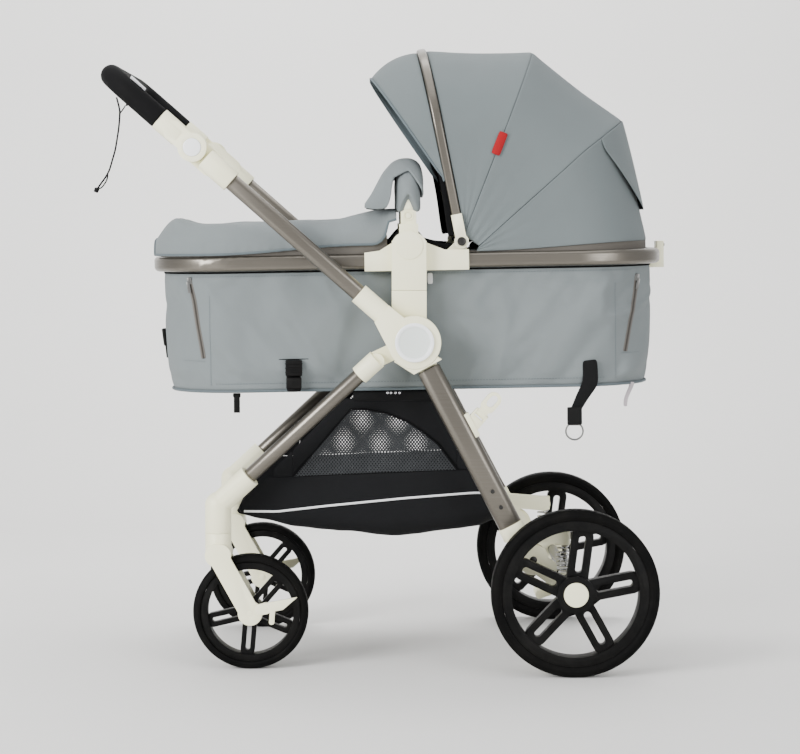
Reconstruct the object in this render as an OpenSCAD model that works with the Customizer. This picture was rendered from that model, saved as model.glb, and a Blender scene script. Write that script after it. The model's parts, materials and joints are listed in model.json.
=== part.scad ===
// Baby stroller with a two-way push handle, a lift-off carrycot and a folding canopy.
// Frame: +X points from the caster wheels to the large wheels, +Y across, +Z up.
// The origin is on the ground, under the middle of the stroller.
// Every paired piece is drawn on the +Y side and mirrored to the other side.

/* [Wheels] */
// Outer diameter of a large rear wheel
rear_wheel_d = 280; // [264:2:290]
// Outer diameter of a front caster wheel
front_wheel_d = 195; // [176:1:198]
// Width of a rear tyre
rear_tyre_w = 42; // [34:1:46]
// Width of a front tyre
front_tyre_w = 36; // [30:1:38]
// Depth of the rear tyre and rim band together
rear_band = 34; // [28:1:38]
// Depth of the front tyre and rim band together
front_band = 25; // [20:1:30]
// Number of double spokes in each wheel
spoke_count = 5; // [4:1:6]
// Radius of an axle pin of a front wheel
front_axle_r = 5; // [4:0.5:6]
// Radius of an axle stub of a rear wheel
rear_axle_r = 6; // [5:0.5:8]

/* [Chassis] */
// Height of the main hub's axis
hub_h = 555; // [545:1:565]
// Place of the main hub along the stroller
hub_x = 40.5; // [30:1:50]
// Radius of the round hub housing
hub_r = 44; // [40:1:46]
// Place of the rear axle along the stroller
rear_axle_x = 307; // [300:1:318]
// Place of the front axle along the stroller
front_axle_x = -235.5; // [-245:1:-225]
// Distance that a caster trails its swivel axis
caster_trail = 54.5; // [45:1:60]
// Width of a rear leg's oval tube
rear_leg_w = 40; // [34:1:42]
// Diameter of a front leg's round tube
front_leg_d = 25; // [22:1:28]
// Wall of the aluminium tubes
tube_wall = 2; // [1.5:0.25:3]
// Distance of a rear wheel's middle from the centre plane
rear_track_half = 279; // [279:1:286]
// Distance of a caster's swivel axis from the centre plane
front_track_half = 200; // [196:1:204]
// Diameter of the cross tubes
cross_d = 20; // [16:1:24]

/* [Push handle] */
// Angle of the push arms above the rear direction
arm_angle = 138.7; // [130:1:145]
// Length of an arm from the hub axis to the tilt axis
arm_length = 488; // [450:2:520]
// Width of an arm's oval tube
arm_w = 28; // [24:1:30]
// Distance from the tilt axis to the middle of the grip
handle_reach = 183; // [170:1:200]
// Diameter of the foam grip
grip_d = 36.5; // [32:0.5:38]
// Diameter of the steel tube in the grip
handle_tube_d = 22; // [18:1:25]
// Bend radius of the handle
handle_bend = 48; // [42:1:70]

/* [Carrycot] */
// Height of the seat joint above the hub's axis
seat_rise = 160; // [158:1:166]
// Place of the seat joint along the stroller
seat_x = 32; // [28:1:36]
// Lean of the carrycot, head end up
seat_lean = 1; // [0:0.5:2]
// Length of the oval top rail
rail_l = 878; // [820:2:890]
// Half of the width of the top rail
rail_half = 198; // [190:1:198]
// Height of the rail's tube
rail_h = 26; // [22:1:28]
// Thickness of the rail's tube
rail_t = 16; // [12:1:18]
// Corner radius of the rail, along its middle line
rail_corner = 140; // [110:2:150]
// Depth of the carrycot below the seat joint
cot_depth = 245; // [225:1:246]
// Thickness of the padded wall and floor
cot_wall = 9; // [6:1:12]
// Thickness of the mattress
mattress_t = 30; // [20:1:40]
// Height of the bumper bar's middle above the seat joint
bumper_rise = 121; // [112:1:130]
// Diameter of the bumper bar's fabric cover
bumper_cover_d = 42; // [34:1:46]
// Diameter of the bumper bar's tube
bumper_tube_d = 22; // [18:1:26]
// Height of the apron's crown above the seat joint
apron_rise = 42; // [34:1:50]

/* [Canopy] */
// Angle of the front bow above the rail
bow_angle = 100.4; // [96:0.2:104]
// Angle of the middle rib above the rail
mid_angle = 67.8; // [62:0.2:72]
// Angle of the rear rib above the rail
rear_angle = 35.2; // [30:0.2:40]
// Height of the front bow from the canopy pivot
bow_l = 333; // [325:1:345]
// Height of the middle rib from the canopy pivot
mid_l = 344; // [338:1:352]
// Height of the rear rib from the canopy pivot
rear_l = 346; // [340:1:354]
// Thickness of the canopy fabric with its lining
canopy_t = 2.5; // [1.5:0.25:3]
// Reach of the sun visor in front of the bow
visor_reach = 107; // [90:1:115]

/* [Hidden] */
$fn = 48;
cream = [0.93, 0.92, 0.86];
champagne = [0.66, 0.63, 0.58];
grey_cloth = [0.56, 0.61, 0.62];
black_plastic = [0.07, 0.07, 0.07];
chrome = [0.8, 0.8, 0.82];

// Clearances
run_gap = 0.05;    // radial clearance of a pin in its bore
seat_gap = 0.2;    // between pieces that are fastened together
move_gap = 0.5;    // between pieces that move past each other

// Layers of the hub, outwards from the centre plane
core_in = rail_half + 5.5;
core_t = 14;
core_out = core_in + core_t;
front_plate_t = 5.5;
front_in = core_out + move_gap;
front_out = front_in + front_plate_t;
leg_t = 26;
leg_in = front_out + 1.5;
leg_mid = leg_in + leg_t / 2;
leg_out = leg_in + leg_t;
housing_in = leg_in + move_gap;
housing_out = leg_out + 7;
arm_t = 20;
arm_mid = (housing_in + housing_out) / 2;
hub_pin_r = 8;

// Rear leg, from the hub to its foot above the wheel
hub = [hub_x, hub_h];
rear_axle_z = rear_wheel_d / 2;
seat_h = hub_h + seat_rise;
leg_foot = [rear_axle_x - 106, rear_axle_z + 108.5];
leg_down = (leg_foot - hub) / norm(leg_foot - hub);
leg_rear = [-leg_down.y, leg_down.x];
leg_angle = atan2(leg_down.y, leg_down.x);
leg_top = hub_r + 6.5;
leg_length = norm(leg_foot - hub);
cross_at = 130;
crossbar = hub + cross_at * leg_down;
bridge_to = 115;
skirt_r = hub_r + 9;

// Suspension
rear_axle_at = [rear_axle_x, rear_axle_z];
arm_pivot = rear_axle_at + [-67, 50];
arm_boss_r = 26;
spring_x = rear_axle_x - 18;
spring_low = rear_axle_z + 26;
spring_high = rear_axle_z + 75;
spring_r = 9.5;
spring_wire = 3.2;
suspension_pin_r = 6;
bracket_in = leg_in - 13;
bracket_plate_t = 12;
arm_in = bracket_in + bracket_plate_t + 1;
suspension_arm_t = 18;
suspension_mid = arm_in + suspension_arm_t / 2;
axle_tube_r = 9;

// Fold latch on the left rear leg
latch_along = 167;
latch_angle = 48.7;
latch_stub = 24;
latch_base_l = 43;
latch_w = 25;
latch_l = 39;
latch_pin_r = 2.5;

// Rear wheel
rear_hub_w = 54;
rear_hub_r = 31;
rear_cap_r = 20.5;
rear_cap_t = 3;
rear_hub_t = rear_hub_w - 10;
rear_cap_in = rear_track_half + rear_hub_t / 2 + move_gap;
rear_tyre_depth = 18;

// Front leg and caster
swivel_x = front_axle_x - caster_trail;
front_axle_z = front_wheel_d / 2;
fork_top_z = front_wheel_d + 36;
elbow_z = fork_top_z + 47;
front_cross_z = fork_top_z + 21;
front_leg_start = [-72.5, -38];
leg_top_point = [hub_x + front_leg_start.x, leg_mid, hub_h + front_leg_start.y];
elbow_point = [swivel_x, front_track_half, elbow_z];
leg_dir = (leg_top_point - elbow_point) / norm(leg_top_point - elbow_point);
elbow_r = 22;
elbow_socket = 74;
front_cross_reach = front_track_half - elbow_r + 6;
front_cross_r = cross_d / 2 - 2;
front_socket_r = front_leg_d / 2 + 4;
front_tube_from = 26;
bracket_up = 14;
swivel_pin_r = 7;
swivel_pin_l = 32;
front_hub_w = front_tyre_w + 8;
front_hub_r = 18;
fork_arm_t = 7.5;
fork_in = front_hub_w / 2 + move_gap;
fork_half = fork_in + fork_arm_t;
lever_pivot = [26.5, 9.5];
lever_pin_r = 3;
lever_t = 6;
front_tyre_depth = 13.5;

// Push arm
arm_dir = [cos(arm_angle), sin(arm_angle)];
tilt_x = hub_x + arm_length * arm_dir.x;
tilt_z = hub_h + arm_length * arm_dir.y;
arm_socket_end = 123;
arm_socket_w = arm_w + 7;
arm_start = 63;
tilt_base_length = 85;
tilt_r = 24;
tilt_split = arm_mid - 2;
tilt_w = arm_w + 10;
tilt_top_length = 72;
tilt_pin_r = 9;
tilt_inner = arm_mid - arm_t / 2 - 3;
button_r = 15;
button_travel = 4;

// Carrycot, in its own frame with the seat joint's axis as origin
rail_x = -2;
rail_z = -26;
rail_top = rail_z + rail_h / 2;
rail_line_l = rail_l - rail_t;
rail_line_half = rail_half - rail_t / 2;
cot_l = rail_l - 2 * rail_t - 2 * move_gap;
cot_half = rail_half - rail_t - move_gap;
cot_corner = rail_corner - rail_t / 2 - move_gap;
cot_straight = cot_l / 2 - cot_corner;
joint_l = 75;
joint_r_side = 100;
joint_low = rail_z - rail_h / 2 - 3;
joint_out = core_in - move_gap;
joint_top = rail_top + 5;
adapter_w = 58;
adapter_low = -75;
adapter_high = 24;
tongue_w = 34;
tongue_t = 7;
tongue_l = 45;
tongue_in = (core_in + core_out) / 2 - tongue_t / 2 + 2;
post_w = 26;
post_t = 14;
post_top = 64;
post_low = 13;
bumper_button_z = 50;
clip_half = 20;
clip_t = 12;
bumper_corner = 50;
bumper_half = rail_half - rail_t / 2;
bumper_button_r = 5;
bumper_button_in = bumper_half + post_t / 2 - 3;

// Canopy, around its own pivot in the carrycot's frame
canopy_pivot = [88.1, 5.5];
bow_w = 15;
bow_t = 7;
bow_half = 201;
bow_side = bow_half + bow_t / 2;
rib_w = 8;
rib_t = 3;
rib_mid_half = 195.7;
rib_rear_half = 192;
bow_bracket_l = 46;
canopy_corner = 150;
canopy_start = 58;
// How far the canopy ends inside the rail's outer edge at the head end.
canopy_back_inset = 24;
canopy_half = 200;
cloth_steps = 7;
canopy_pin_r = 4;
ribs_over = 2.5;
mid_cloth = [rib_mid_half + canopy_t + 1, mid_l + canopy_t + ribs_over];
rear_cloth = [rib_mid_half + canopy_t - 1.5, rear_l + canopy_t + ribs_over];

// ---- Shared shapes ----------------------------------------------------------

module pair() {
    children();
    mirror([0, 1, 0]) children();
}

module on_side(side) {
    if (side == "left") mirror([0, 1, 0]) children();
    else children();
}

// A flat outline in the side view, given a thickness from y0 to y1.
module plate(y0, y1) {
    translate([0, y1, 0]) rotate([90, 0, 0]) linear_extrude(y1 - y0) children();
}

// A round pin or bore along Y.
module pin(at, r, y0, y1) {
    plate(y0, y1) translate(at) circle(r);
}

// An outline with round ends from a to b, w wide.
module link(a, b, w) {
    d = b - a;
    translate(a) rotate(atan2(d.y, d.x)) translate([0, 0.1 - w / 2]) square([norm(d), w - 0.2]);
    translate(a) circle(w / 2);
    translate(b) circle(w / 2);
}

module oval(w, t) {
    square([w - t, t], center = true);
    translate([(w - t) / 2, 0]) circle(t / 2);
    translate([-(w - t) / 2, 0]) circle(t / 2);
}

// Places local +Z along a direction in the side view, starting r from a point.
module along(at, angle, r, y) {
    translate([at.x, y, at.y]) rotate([0, 90 - angle, 0]) translate([0, 0, r]) children();
}

// A round bar between two points.
module rod(a, b, r) {
    d = b - a;
    translate(a) rotate([0, acos(d.z / norm(d)), atan2(d.y, d.x)]) cylinder(h = norm(d), r = r);
}

module oval_tube(w, t, length) {
    linear_extrude(length) difference() {
        oval(w, t);
        oval(w - 2 * tube_wall, t - 2 * tube_wall);
    }
}

// An arch in the Y-Z plane: legs at y = +-half from z0 up, corners, and a straight top.
// The child is its section: X across the arch's plane, Y in the plane.
module arch(half, height, corner, z0) {
    pair() {
        translate([0, half, z0]) linear_extrude(height - corner - z0) children();
        translate([0, half - corner, height - corner]) rotate([0, -90, 0])
            rotate_extrude(angle = 90) translate([corner, 0]) rotate(-90) children();
        translate([0, 0, height]) rotate([-90, 0, 0])
            linear_extrude(half - corner) children();
    }
}

function arc(c, r, a0, a1, n) = [for (i = [0 : n]) let (a = a0 + (a1 - a0) * i / n)
    c + r * [cos(a), sin(a)]];

// Half width and height along an arch's outline, from one foot to the other.
function arch_line(half, height, corner, z0) = concat(
    [[half, z0], [half, (z0 + height - corner) / 2]],
    arc([half - corner, height - corner], corner, 0, 90, cloth_steps),
    arc([corner - half, height - corner], corner, 90, 180, cloth_steps),
    [[-half, (z0 + height - corner) / 2], [-half, z0]]);

// A skin between rows of points: rows_out and rows_in are lists of equally long lists.
module skin(rows_out, rows_in) {
    n = len(rows_out[0]);
    m = len(rows_out);
    k = n * m;
    points = [for (row = rows_out) each row, for (row = rows_in) each row];
    outer = [for (i = [0 : m - 2], j = [0 : n - 2]) each
        [[i * n + j, i * n + j + 1, (i + 1) * n + j],
         [i * n + j + 1, (i + 1) * n + j + 1, (i + 1) * n + j]]];
    inner = [for (f = outer) [f[0] + k, f[2] + k, f[1] + k]];
    ends = [for (i = [0 : m - 2]) each
        [[i * n, (i + 1) * n, i * n + k], [(i + 1) * n, (i + 1) * n + k, i * n + k],
         [i * n + n - 1, i * n + n - 1 + k, (i + 1) * n + n - 1],
         [(i + 1) * n + n - 1, i * n + n - 1 + k, (i + 1) * n + n - 1 + k]]];
    last = (m - 1) * n;
    sides = [for (j = [0 : n - 2]) each
        [[j, j + k, j + 1], [j + 1, j + k, j + 1 + k],
         [last + j, last + j + 1, last + j + k], [last + j + 1, last + j + 1 + k, last + j + k]]];
    polyhedron(points, concat(outer, inner, ends, sides));
}

// A round cord swept along a list of points.
module sweep(path, r, sides) {
    m = len(path);
    points = [for (i = [0 : m - 1]) let (
            d = path[min(i + 1, m - 1)] - path[max(i - 1, 0)],
            t = d / norm(d),
            u = cross(t, [0, 1, 0]) / norm(cross(t, [0, 1, 0])),
            v = cross(t, u))
        each [for (j = [0 : sides - 1]) path[i] + r * (cos(360 * j / sides) * u + sin(360 * j / sides) * v)]];
    tube = [for (i = [0 : m - 2], j = [0 : sides - 1]) let (
            a = i * sides + j,
            b = i * sides + (j + 1) % sides)
        each [[a, b, a + sides], [b, b + sides, a + sides]]];
    polyhedron(points, concat(tube,
        [[for (j = [sides - 1 : -1 : 0]) j]], [[for (j = [0 : sides - 1]) (m - 1) * sides + j]]));
}

// Puts the carrycot's own frame in place.
module seat_place() {
    translate([seat_x, 0, seat_h]) rotate([0, -seat_lean, 0]) children();
}

// A rounded rectangle seen from above.
module plan(length, half, corner) {
    for (sx = [-1, 1], sy = [-1, 1])
        translate([sx * (length / 2 - corner), sy * (half - corner)]) circle(corner);
    square([length - 2 * corner, 2 * half], center = true);
    square([length, 2 * (half - corner)], center = true);
}

// ---- Wheels -----------------------------------------------------------------

function tyre_profile(r_out, depth, w) = let (s = min(11, w / 3)) concat(
    [[r_out - depth, -w / 2 + 3], [r_out - depth, w / 2 - 3]],
    arc([r_out - s, w / 2 - s], s, 90, 0, 6),
    arc([r_out - s, s - w / 2], s, 0, -90, 6));

module tyre(r_out, depth, w) {
    rotate([-90, 0, 0]) rotate_extrude() polygon(tyre_profile(r_out, depth, w));
}

module rim(r_out, r_in, w, hub_radius, hub_w, spoke_w, phase) {
    spoke_t = w * 0.55;
    difference() {
        union() {
            rotate([90, 0, 0]) linear_extrude(w, center = true) difference() {
                circle(r_out);
                circle(r_in);
            }
            rotate([90, 0, 0]) linear_extrude(hub_w, center = true) circle(hub_radius);
            rotate([90, 0, 0]) linear_extrude(spoke_t, center = true) intersection() {
                circle(r_in + 1);
                for (i = [0 : spoke_count - 1]) rotate(phase + 360 / spoke_count * i)
                    difference() {
                        link([0, 0], [r_in - spoke_w * 0.32, 0], spoke_w);
                        link([hub_radius + spoke_w * 0.28, 0], [r_in - spoke_w * 0.42, 0], spoke_w / 3);
                    }
            }
        }
        children();
    }
}

module rear_wheel_place(side) {
    on_side(side) translate([rear_axle_x, rear_track_half, rear_axle_z]) children();
}

module front_wheel_place(side) {
    on_side(side) translate([front_axle_x, front_track_half, front_axle_z]) children();
}

module rear_tyre(side) {
    color(black_plastic) rear_wheel_place(side)
        tyre(rear_wheel_d / 2, rear_tyre_depth, rear_tyre_w);
}

module rear_rim(side) {
    color(black_plastic) rear_wheel_place(side)
        rim(rear_wheel_d / 2 - rear_tyre_depth - seat_gap, rear_wheel_d / 2 - rear_band,
            rear_tyre_w - 8, rear_hub_r, rear_hub_t, 36, 11)
            pin([0, 0], rear_axle_r + run_gap, -rear_hub_t / 2 - 1, rear_hub_t / 2 + 1);
}

module rear_caps() {
    color(cream) pair() translate([rear_axle_x, rear_cap_in, rear_axle_z]) rotate([-90, 0, 0])
        rotate_extrude() polygon([[0, 0], [rear_cap_r, 0], [rear_cap_r, rear_cap_t - 1],
            [rear_cap_r - 1, rear_cap_t], [0, rear_cap_t]]);
}

module front_tyre(side) {
    color(black_plastic) front_wheel_place(side)
        tyre(front_wheel_d / 2, front_tyre_depth, front_tyre_w);
}

module front_rim(side) {
    color(black_plastic) front_wheel_place(side)
        rim(front_wheel_d / 2 - front_tyre_depth - seat_gap, front_wheel_d / 2 - front_band,
            front_tyre_w - 8, front_hub_r, front_hub_w, 24, 49)
            pin([0, 0], front_axle_r + run_gap, -front_hub_w / 2 - 1, front_hub_w / 2 + 1);
}

// ---- Chassis ----------------------------------------------------------------

module rear_leg_profile(inset) {
    oval(rear_leg_w - 2 * inset, leg_t - 2 * inset);
}

module hub_cores() {
    neck = seat_h + adapter_low - hub_h;
    socket_floor = seat_h + adapter_low - tongue_l - 2;
    color(cream) pair() difference() {
        union() {
            plate(core_in, core_out) {
                translate(hub) circle(hub_r - 2);
                translate(hub) rotate(leg_angle) translate([0, -16]) square([bridge_to, 32]);
                translate([seat_x - adapter_w / 2, hub_h]) square([adapter_w, neck]);
            }
            // receiver post, thicker above the turning discs
            plate(core_in, housing_in - 1.5) translate([seat_x - adapter_w / 2, hub_h + hub_r - 9])
                square([adapter_w, neck - hub_r + 9]);
            // bridge that carries the rear leg
            plate(core_out - 1, leg_in) translate(hub) rotate(leg_angle)
                translate([leg_top - 12, -16]) square([bridge_to - leg_top + 12, 32]);
            // pointed skirt under the round housing
            plate(leg_in - 1, housing_out - 1) translate(hub) difference() {
                polygon([[0, 0], (hub_r + 2.5) * [cos(224), sin(224)], skirt_r * [cos(269), sin(269)],
                    skirt_r * [cos(328), sin(328)]]);
                circle(hub_r + move_gap);
            }
        }
        pin(hub, hub_pin_r + run_gap, core_in - 1, core_out + 1);
        // socket of the carrycot adapter's tongue
        translate([seat_x - tongue_w / 2 - seat_gap, tongue_in - seat_gap, socket_floor])
            cube([tongue_w + 2 * seat_gap, tongue_t + 2 * seat_gap, tongue_l + 10]);
    }
}

module rear_legs() {
    color(champagne) pair() difference() {
        along([hub_x, hub_h], leg_angle, leg_top, leg_mid)
            oval_tube(rear_leg_w, leg_t, leg_length - leg_top);
        rod([crossbar.x, 0, crossbar.y], [crossbar.x, leg_mid, crossbar.y], cross_d / 2 + seat_gap);
    }
}

module rear_brackets() {
    joint = leg_foot + 16 * leg_down;
    cup = [spring_x, spring_high + 12];
    color(cream) pair() difference() {
        union() {
            // plug in the leg and the collar under it
            along(hub, leg_angle, leg_length - 75, leg_mid)
                linear_extrude(85) rear_leg_profile(tube_wall + seat_gap);
            along(hub, leg_angle, leg_length + seat_gap, leg_mid)
                linear_extrude(22) rear_leg_profile(-2);
            plate(bracket_in, bracket_in + bracket_plate_t) {
                link(joint, arm_pivot, 40);
                link(joint, cup, 25);
            }
            plate(bracket_in + 1, leg_out - 1) link(joint, cup + [-2, 1], 21);
            // cup over the spring
            translate([spring_x, suspension_mid, spring_high]) cylinder(h = 24, r = 13);
        }
        pin(arm_pivot, suspension_pin_r + run_gap, bracket_in - 1, bracket_in + bracket_plate_t + 1);
    }
}

module rear_crossbar() {
    reach = leg_mid - 4;
    color(champagne) rod([crossbar.x, -reach, crossbar.y], [crossbar.x, reach, crossbar.y], cross_d / 2);
}

module chassis_screws() {
    color(chrome) pair() {
        // hub pins
        pin(hub, hub_pin_r, core_in, housing_out - 4);
        // suspension pins
        pin(arm_pivot, suspension_pin_r, bracket_in - 2, arm_in + suspension_arm_t + 2);
        // leg screws
        for (from_foot = [65, 35]) pin(leg_foot - from_foot * leg_down, 3.5, leg_out + run_gap, leg_out + 2);
    }
}

basket_half = 172;
basket_t = 3;
basket_lip = [-298.5, -281];
basket_base = [for (p = [[-298.5, -285], [-202.5, -319], [-122.5, -329], [-46.5, -332],
    [7.5, -330], [109.5, -320], [141.5, -307]]) hub + p];
basket_top_z = seat_h - cot_depth - 9;
basket_top = [[hub_x + 43.5, basket_top_z], [hub_x - 107.5, basket_top_z]];
basket_back = [[129.5, -265], [124.5, -265]];

module basket() {
    color(black_plastic) difference() {
        union() {
            pair() plate(basket_half - basket_t, basket_half) {
                polygon(concat(basket_base, basket_top));
                translate(crossbar) circle(cross_d / 2 + 5);
            }
            plate(-basket_half, basket_half)
                polygon(concat([hub + basket_lip], basket_base, [for (p = basket_back) hub + p],
                    [for (i = [len(basket_base) - 2 : -1 : 1]) basket_base[i] + [0, basket_t]]));
        }
        rod([crossbar.x, -leg_mid, crossbar.y], [crossbar.x, leg_mid, crossbar.y], cross_d / 2 + seat_gap);
    }
}

// Stands at the latch's hinge: local +X points out along the latch.
module latch_place() {
    root = hub + latch_along * leg_down + rear_leg_w / 2 * leg_rear;
    mirror([0, 1, 0]) translate([root.x, leg_mid, root.y]) rotate([0, -latch_angle, 0])
        translate([latch_stub, 0, 0]) children();
}

module latch_base() {
    ear = 4;
    color(cream) difference() {
        union() {
            latch_place() for (z = [-latch_w / 2, latch_w / 2 - ear]) translate([0, 0, z]) {
                cylinder(h = ear, r = 5);
                translate([-latch_stub + 2, -5, 0]) cube([latch_stub - 2, 10, ear]);
            }
            latch_place() {
                translate([-latch_stub, -7, -latch_w / 2]) cube([latch_stub - 8, 14, latch_w]);
                translate([0, 0, -latch_w / 2]) cylinder(h = latch_w, r = latch_pin_r);
            }
            mirror([0, 1, 0]) along(hub, leg_angle, latch_along - latch_base_l / 2, leg_mid)
                translate([-rear_leg_w / 2 - 5, -9, 0]) cube([9, 18, latch_base_l]);
        }
        mirror([0, 1, 0]) along(hub, leg_angle, leg_top, leg_mid)
            linear_extrude(leg_length) rear_leg_profile(-seat_gap);
    }
}

module fold_latch() {
    knuckle = latch_w - 2 * 4 - 2 * seat_gap;
    color(cream) latch_place() difference() {
        union() {
            translate([0, 0, -knuckle / 2]) cylinder(h = knuckle, r = 5);
            translate([0, -4, -knuckle / 2]) cube([9, 8, knuckle]);
            plate(-4, 4) translate([latch_l / 2 + 6, 0]) oval(latch_l, latch_w);
        }
        plate(-5, 5) translate([latch_l / 2 + 9, 0]) oval(latch_l - 17, latch_w - 12);
        translate([0, 0, -latch_w / 2]) cylinder(h = latch_w, r = latch_pin_r + run_gap);
    }
}

// ---- Front frame ------------------------------------------------------------

module front_legs() {
    color(champagne) pair() difference() {
        rod(leg_top_point, elbow_point + 40 * leg_dir, front_leg_d / 2);
        rod(leg_top_point + leg_dir, elbow_point + 39 * leg_dir, front_leg_d / 2 - tube_wall);
    }
}

module front_brackets() {
    top = [leg_top_point.x, leg_top_point.z];
    color(cream) pair() difference() {
        union() {
            plate(front_in, front_out) {
                translate([hub_x, hub_h]) circle(32);
                link([hub_x, hub_h], top + [9, 8], 28);
            }
            rod(leg_top_point - front_tube_from * leg_dir, leg_top_point + bracket_up * leg_dir,
                front_socket_r);
            plate(front_in + 0.6, leg_mid + 6) link(top - [4, 3], top + [9, 6], 27);
        }
        pin([hub_x, hub_h], hub_pin_r + run_gap, front_in - 1, front_out + 1);
        rod(leg_top_point - (front_tube_from + 5) * leg_dir, leg_top_point + seat_gap * leg_dir,
            front_leg_d / 2 + seat_gap);
        // room for the round housing of the push arm
        pin([hub_x, hub_h], hub_r + 1.5, front_out, housing_out + 10);
    }
}

module elbows() {
    color(cream) pair() difference() {
        union() {
            rod(elbow_point, elbow_point + elbow_socket * leg_dir, elbow_r - 2.5);
            translate(elbow_point) sphere(elbow_r);
            translate([elbow_point.x, elbow_point.y, fork_top_z + move_gap])
                cylinder(h = elbow_z - fork_top_z - move_gap, r = elbow_r);
        }
        rod(elbow_point + (40 - seat_gap) * leg_dir, elbow_point + (elbow_socket + 5) * leg_dir,
            front_leg_d / 2 + seat_gap);
        translate([elbow_point.x, elbow_point.y, fork_top_z - 1])
            cylinder(h = swivel_pin_l + 4, r = swivel_pin_r + run_gap);
        rod([swivel_x, 0, front_cross_z], [swivel_x, front_cross_reach, front_cross_z],
            front_cross_r + seat_gap);
    }
}

module front_crossbar() {
    reach = front_cross_reach - seat_gap;
    color(black_plastic)
        rod([swivel_x, -reach, front_cross_z], [swivel_x, reach, front_cross_z], front_cross_r);
}

module fork(side) {
    axle = [front_axle_x, front_axle_z];
    crown = front_axle_z + 92;
    arm_inner = front_track_half - fork_half;
    arm_outer = front_track_half + fork_half;
    color(cream) on_side(side) {
        difference() {
            union() {
                translate([swivel_x, front_track_half, crown]) cylinder(h = fork_top_z - crown, r = elbow_r);
                translate([swivel_x, front_track_half, crown])
                    cylinder(h = fork_top_z - crown + swivel_pin_l, r = swivel_pin_r);
                plate(arm_inner, arm_outer) {
                    link([swivel_x - 2, crown + 6], [swivel_x + 4, crown + 6], 38);
                    link([swivel_x + 1, crown + 5], axle, 34);
                    translate(axle) circle(20.5);
                }
                // lug of the lock lever
                plate(front_track_half + fork_in + 0.5, arm_outer - 0.2)
                    link(axle, axle + lever_pivot, 18);
            }
            // room for the wheel between the arms
            plate(front_track_half - fork_in, front_track_half + fork_in)
                translate(axle) circle(front_axle_z + 5);
            pin(axle, front_axle_r + run_gap, arm_inner - 1, arm_outer + 1);
        }
        pin(axle, front_axle_r, arm_inner - 2, arm_outer);
        pin(axle + lever_pivot, lever_pin_r, front_track_half + fork_in + 1, arm_outer + lever_t + 1);
    }
}

module lock_lever(side) {
    y0 = front_track_half + fork_half + move_gap;
    color(cream) on_side(side) difference() {
        plate(y0, y0 + lever_t) translate([front_axle_x, front_axle_z] + lever_pivot) {
            link([-9, -2], [0, 0], 19);
            polygon([[-3, -8], [29, -2], [53, 19], [-1, 9]]);
            link([12, 4], [10, -23], 9);
        }
        pin([front_axle_x, front_axle_z] + lever_pivot, lever_pin_r + run_gap, y0 - 1, y0 + lever_t + 1);
    }
}

// ---- Rear axle --------------------------------------------------------------

module rear_arms() {
    color(cream) pair() difference() {
        plate(arm_in, arm_in + suspension_arm_t) {
            link(arm_pivot, rear_axle_at, 36);
            translate(arm_pivot) circle(arm_boss_r);
            translate([spring_x - 14, rear_axle_z]) square([28, spring_low - rear_axle_z]);
        }
        // pocket of the spring
        translate([spring_x, suspension_mid, spring_low]) cylinder(h = 60, r = spring_r + 4);
        pin(arm_pivot, suspension_pin_r + run_gap, arm_in - 1, arm_in + suspension_arm_t + 1);
        pin(rear_axle_at, axle_tube_r + run_gap, arm_in - 1, arm_in + suspension_arm_t + 1);
    }
}

module rear_axle() {
    end = arm_in + suspension_arm_t + 1;
    color(black_plastic) {
        pin(rear_axle_at, axle_tube_r, -end, end);
        pair() pin(rear_axle_at, rear_axle_r, end - 1, rear_cap_in);
    }
}

module rear_springs() {
    turns = 6;
    per_turn = 12;
    climb = spring_high - spring_low - spring_wire - 2 * seat_gap;
    path = [for (i = [0 : turns * per_turn]) let (a = 360 * i / per_turn)
        [spring_r * cos(a), spring_r * sin(a), climb * i / (turns * per_turn)]];
    color(chrome) pair()
        translate([spring_x, suspension_mid, spring_low + spring_wire / 2 + seat_gap])
            coil(path, spring_wire / 2, 6);
}

// A sweep whose rings stand across the path, steady round a coil.
module coil(path, r, sides) {
    m = len(path);
    points = [for (i = [0 : m - 1]) let (
            out = [path[i].x, path[i].y, 0] / norm([path[i].x, path[i].y, 0]))
        each [for (j = [0 : sides - 1]) path[i]
            + r * (cos(360 * j / sides) * out + sin(360 * j / sides) * [0, 0, 1])]];
    tube = [for (i = [0 : m - 2], j = [0 : sides - 1]) let (
            a = i * sides + j,
            b = i * sides + (j + 1) % sides)
        each [[a, a + sides, b], [b, a + sides, b + sides]]];
    polyhedron(points, concat(tube,
        [[for (j = [0 : sides - 1]) j]], [[for (j = [sides - 1 : -1 : 0]) (m - 1) * sides + j]]));
}

module brake_pedal() {
    color(cream) mirror([0, 1, 0]) difference() {
        union() {
            plate(150, 205) translate(rear_axle_at) circle(axle_tube_r + 4);
            plate(158, 197) link(rear_axle_at, rear_axle_at + [-48, -13], 10);
            plate(150, 205) link(rear_axle_at + [-36, -9], rear_axle_at + [-54, -15], 14);
        }
        pin(rear_axle_at, axle_tube_r + run_gap, 149, 206);
    }
}

// ---- Push handle ------------------------------------------------------------

module arm_housings() {
    color(cream) pair() difference() {
        union() {
            plate(housing_in, housing_out) {
                translate([hub_x, hub_h]) circle(hub_r);
                translate([hub_x, hub_h]) rotate(arm_angle) polygon([[0, hub_r - 2], [20, hub_r - 5],
                    [72, arm_socket_w / 2 + 1], [72, -arm_socket_w / 2], [34, -arm_socket_w / 2 - 2],
                    [14, -hub_r + 3]]);
            }
            along([hub_x, hub_h], arm_angle, 40, arm_mid)
                linear_extrude(arm_socket_end - 40) oval(arm_socket_w, arm_t + 10);
        }
        along([hub_x, hub_h], arm_angle, arm_start - seat_gap, arm_mid)
            linear_extrude(arm_socket_end) oval(arm_w + 2 * seat_gap, arm_t + 2 * seat_gap);
        pin([hub_x, hub_h], hub_pin_r + run_gap, housing_in - 1, housing_out - 3);
    }
}

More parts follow.
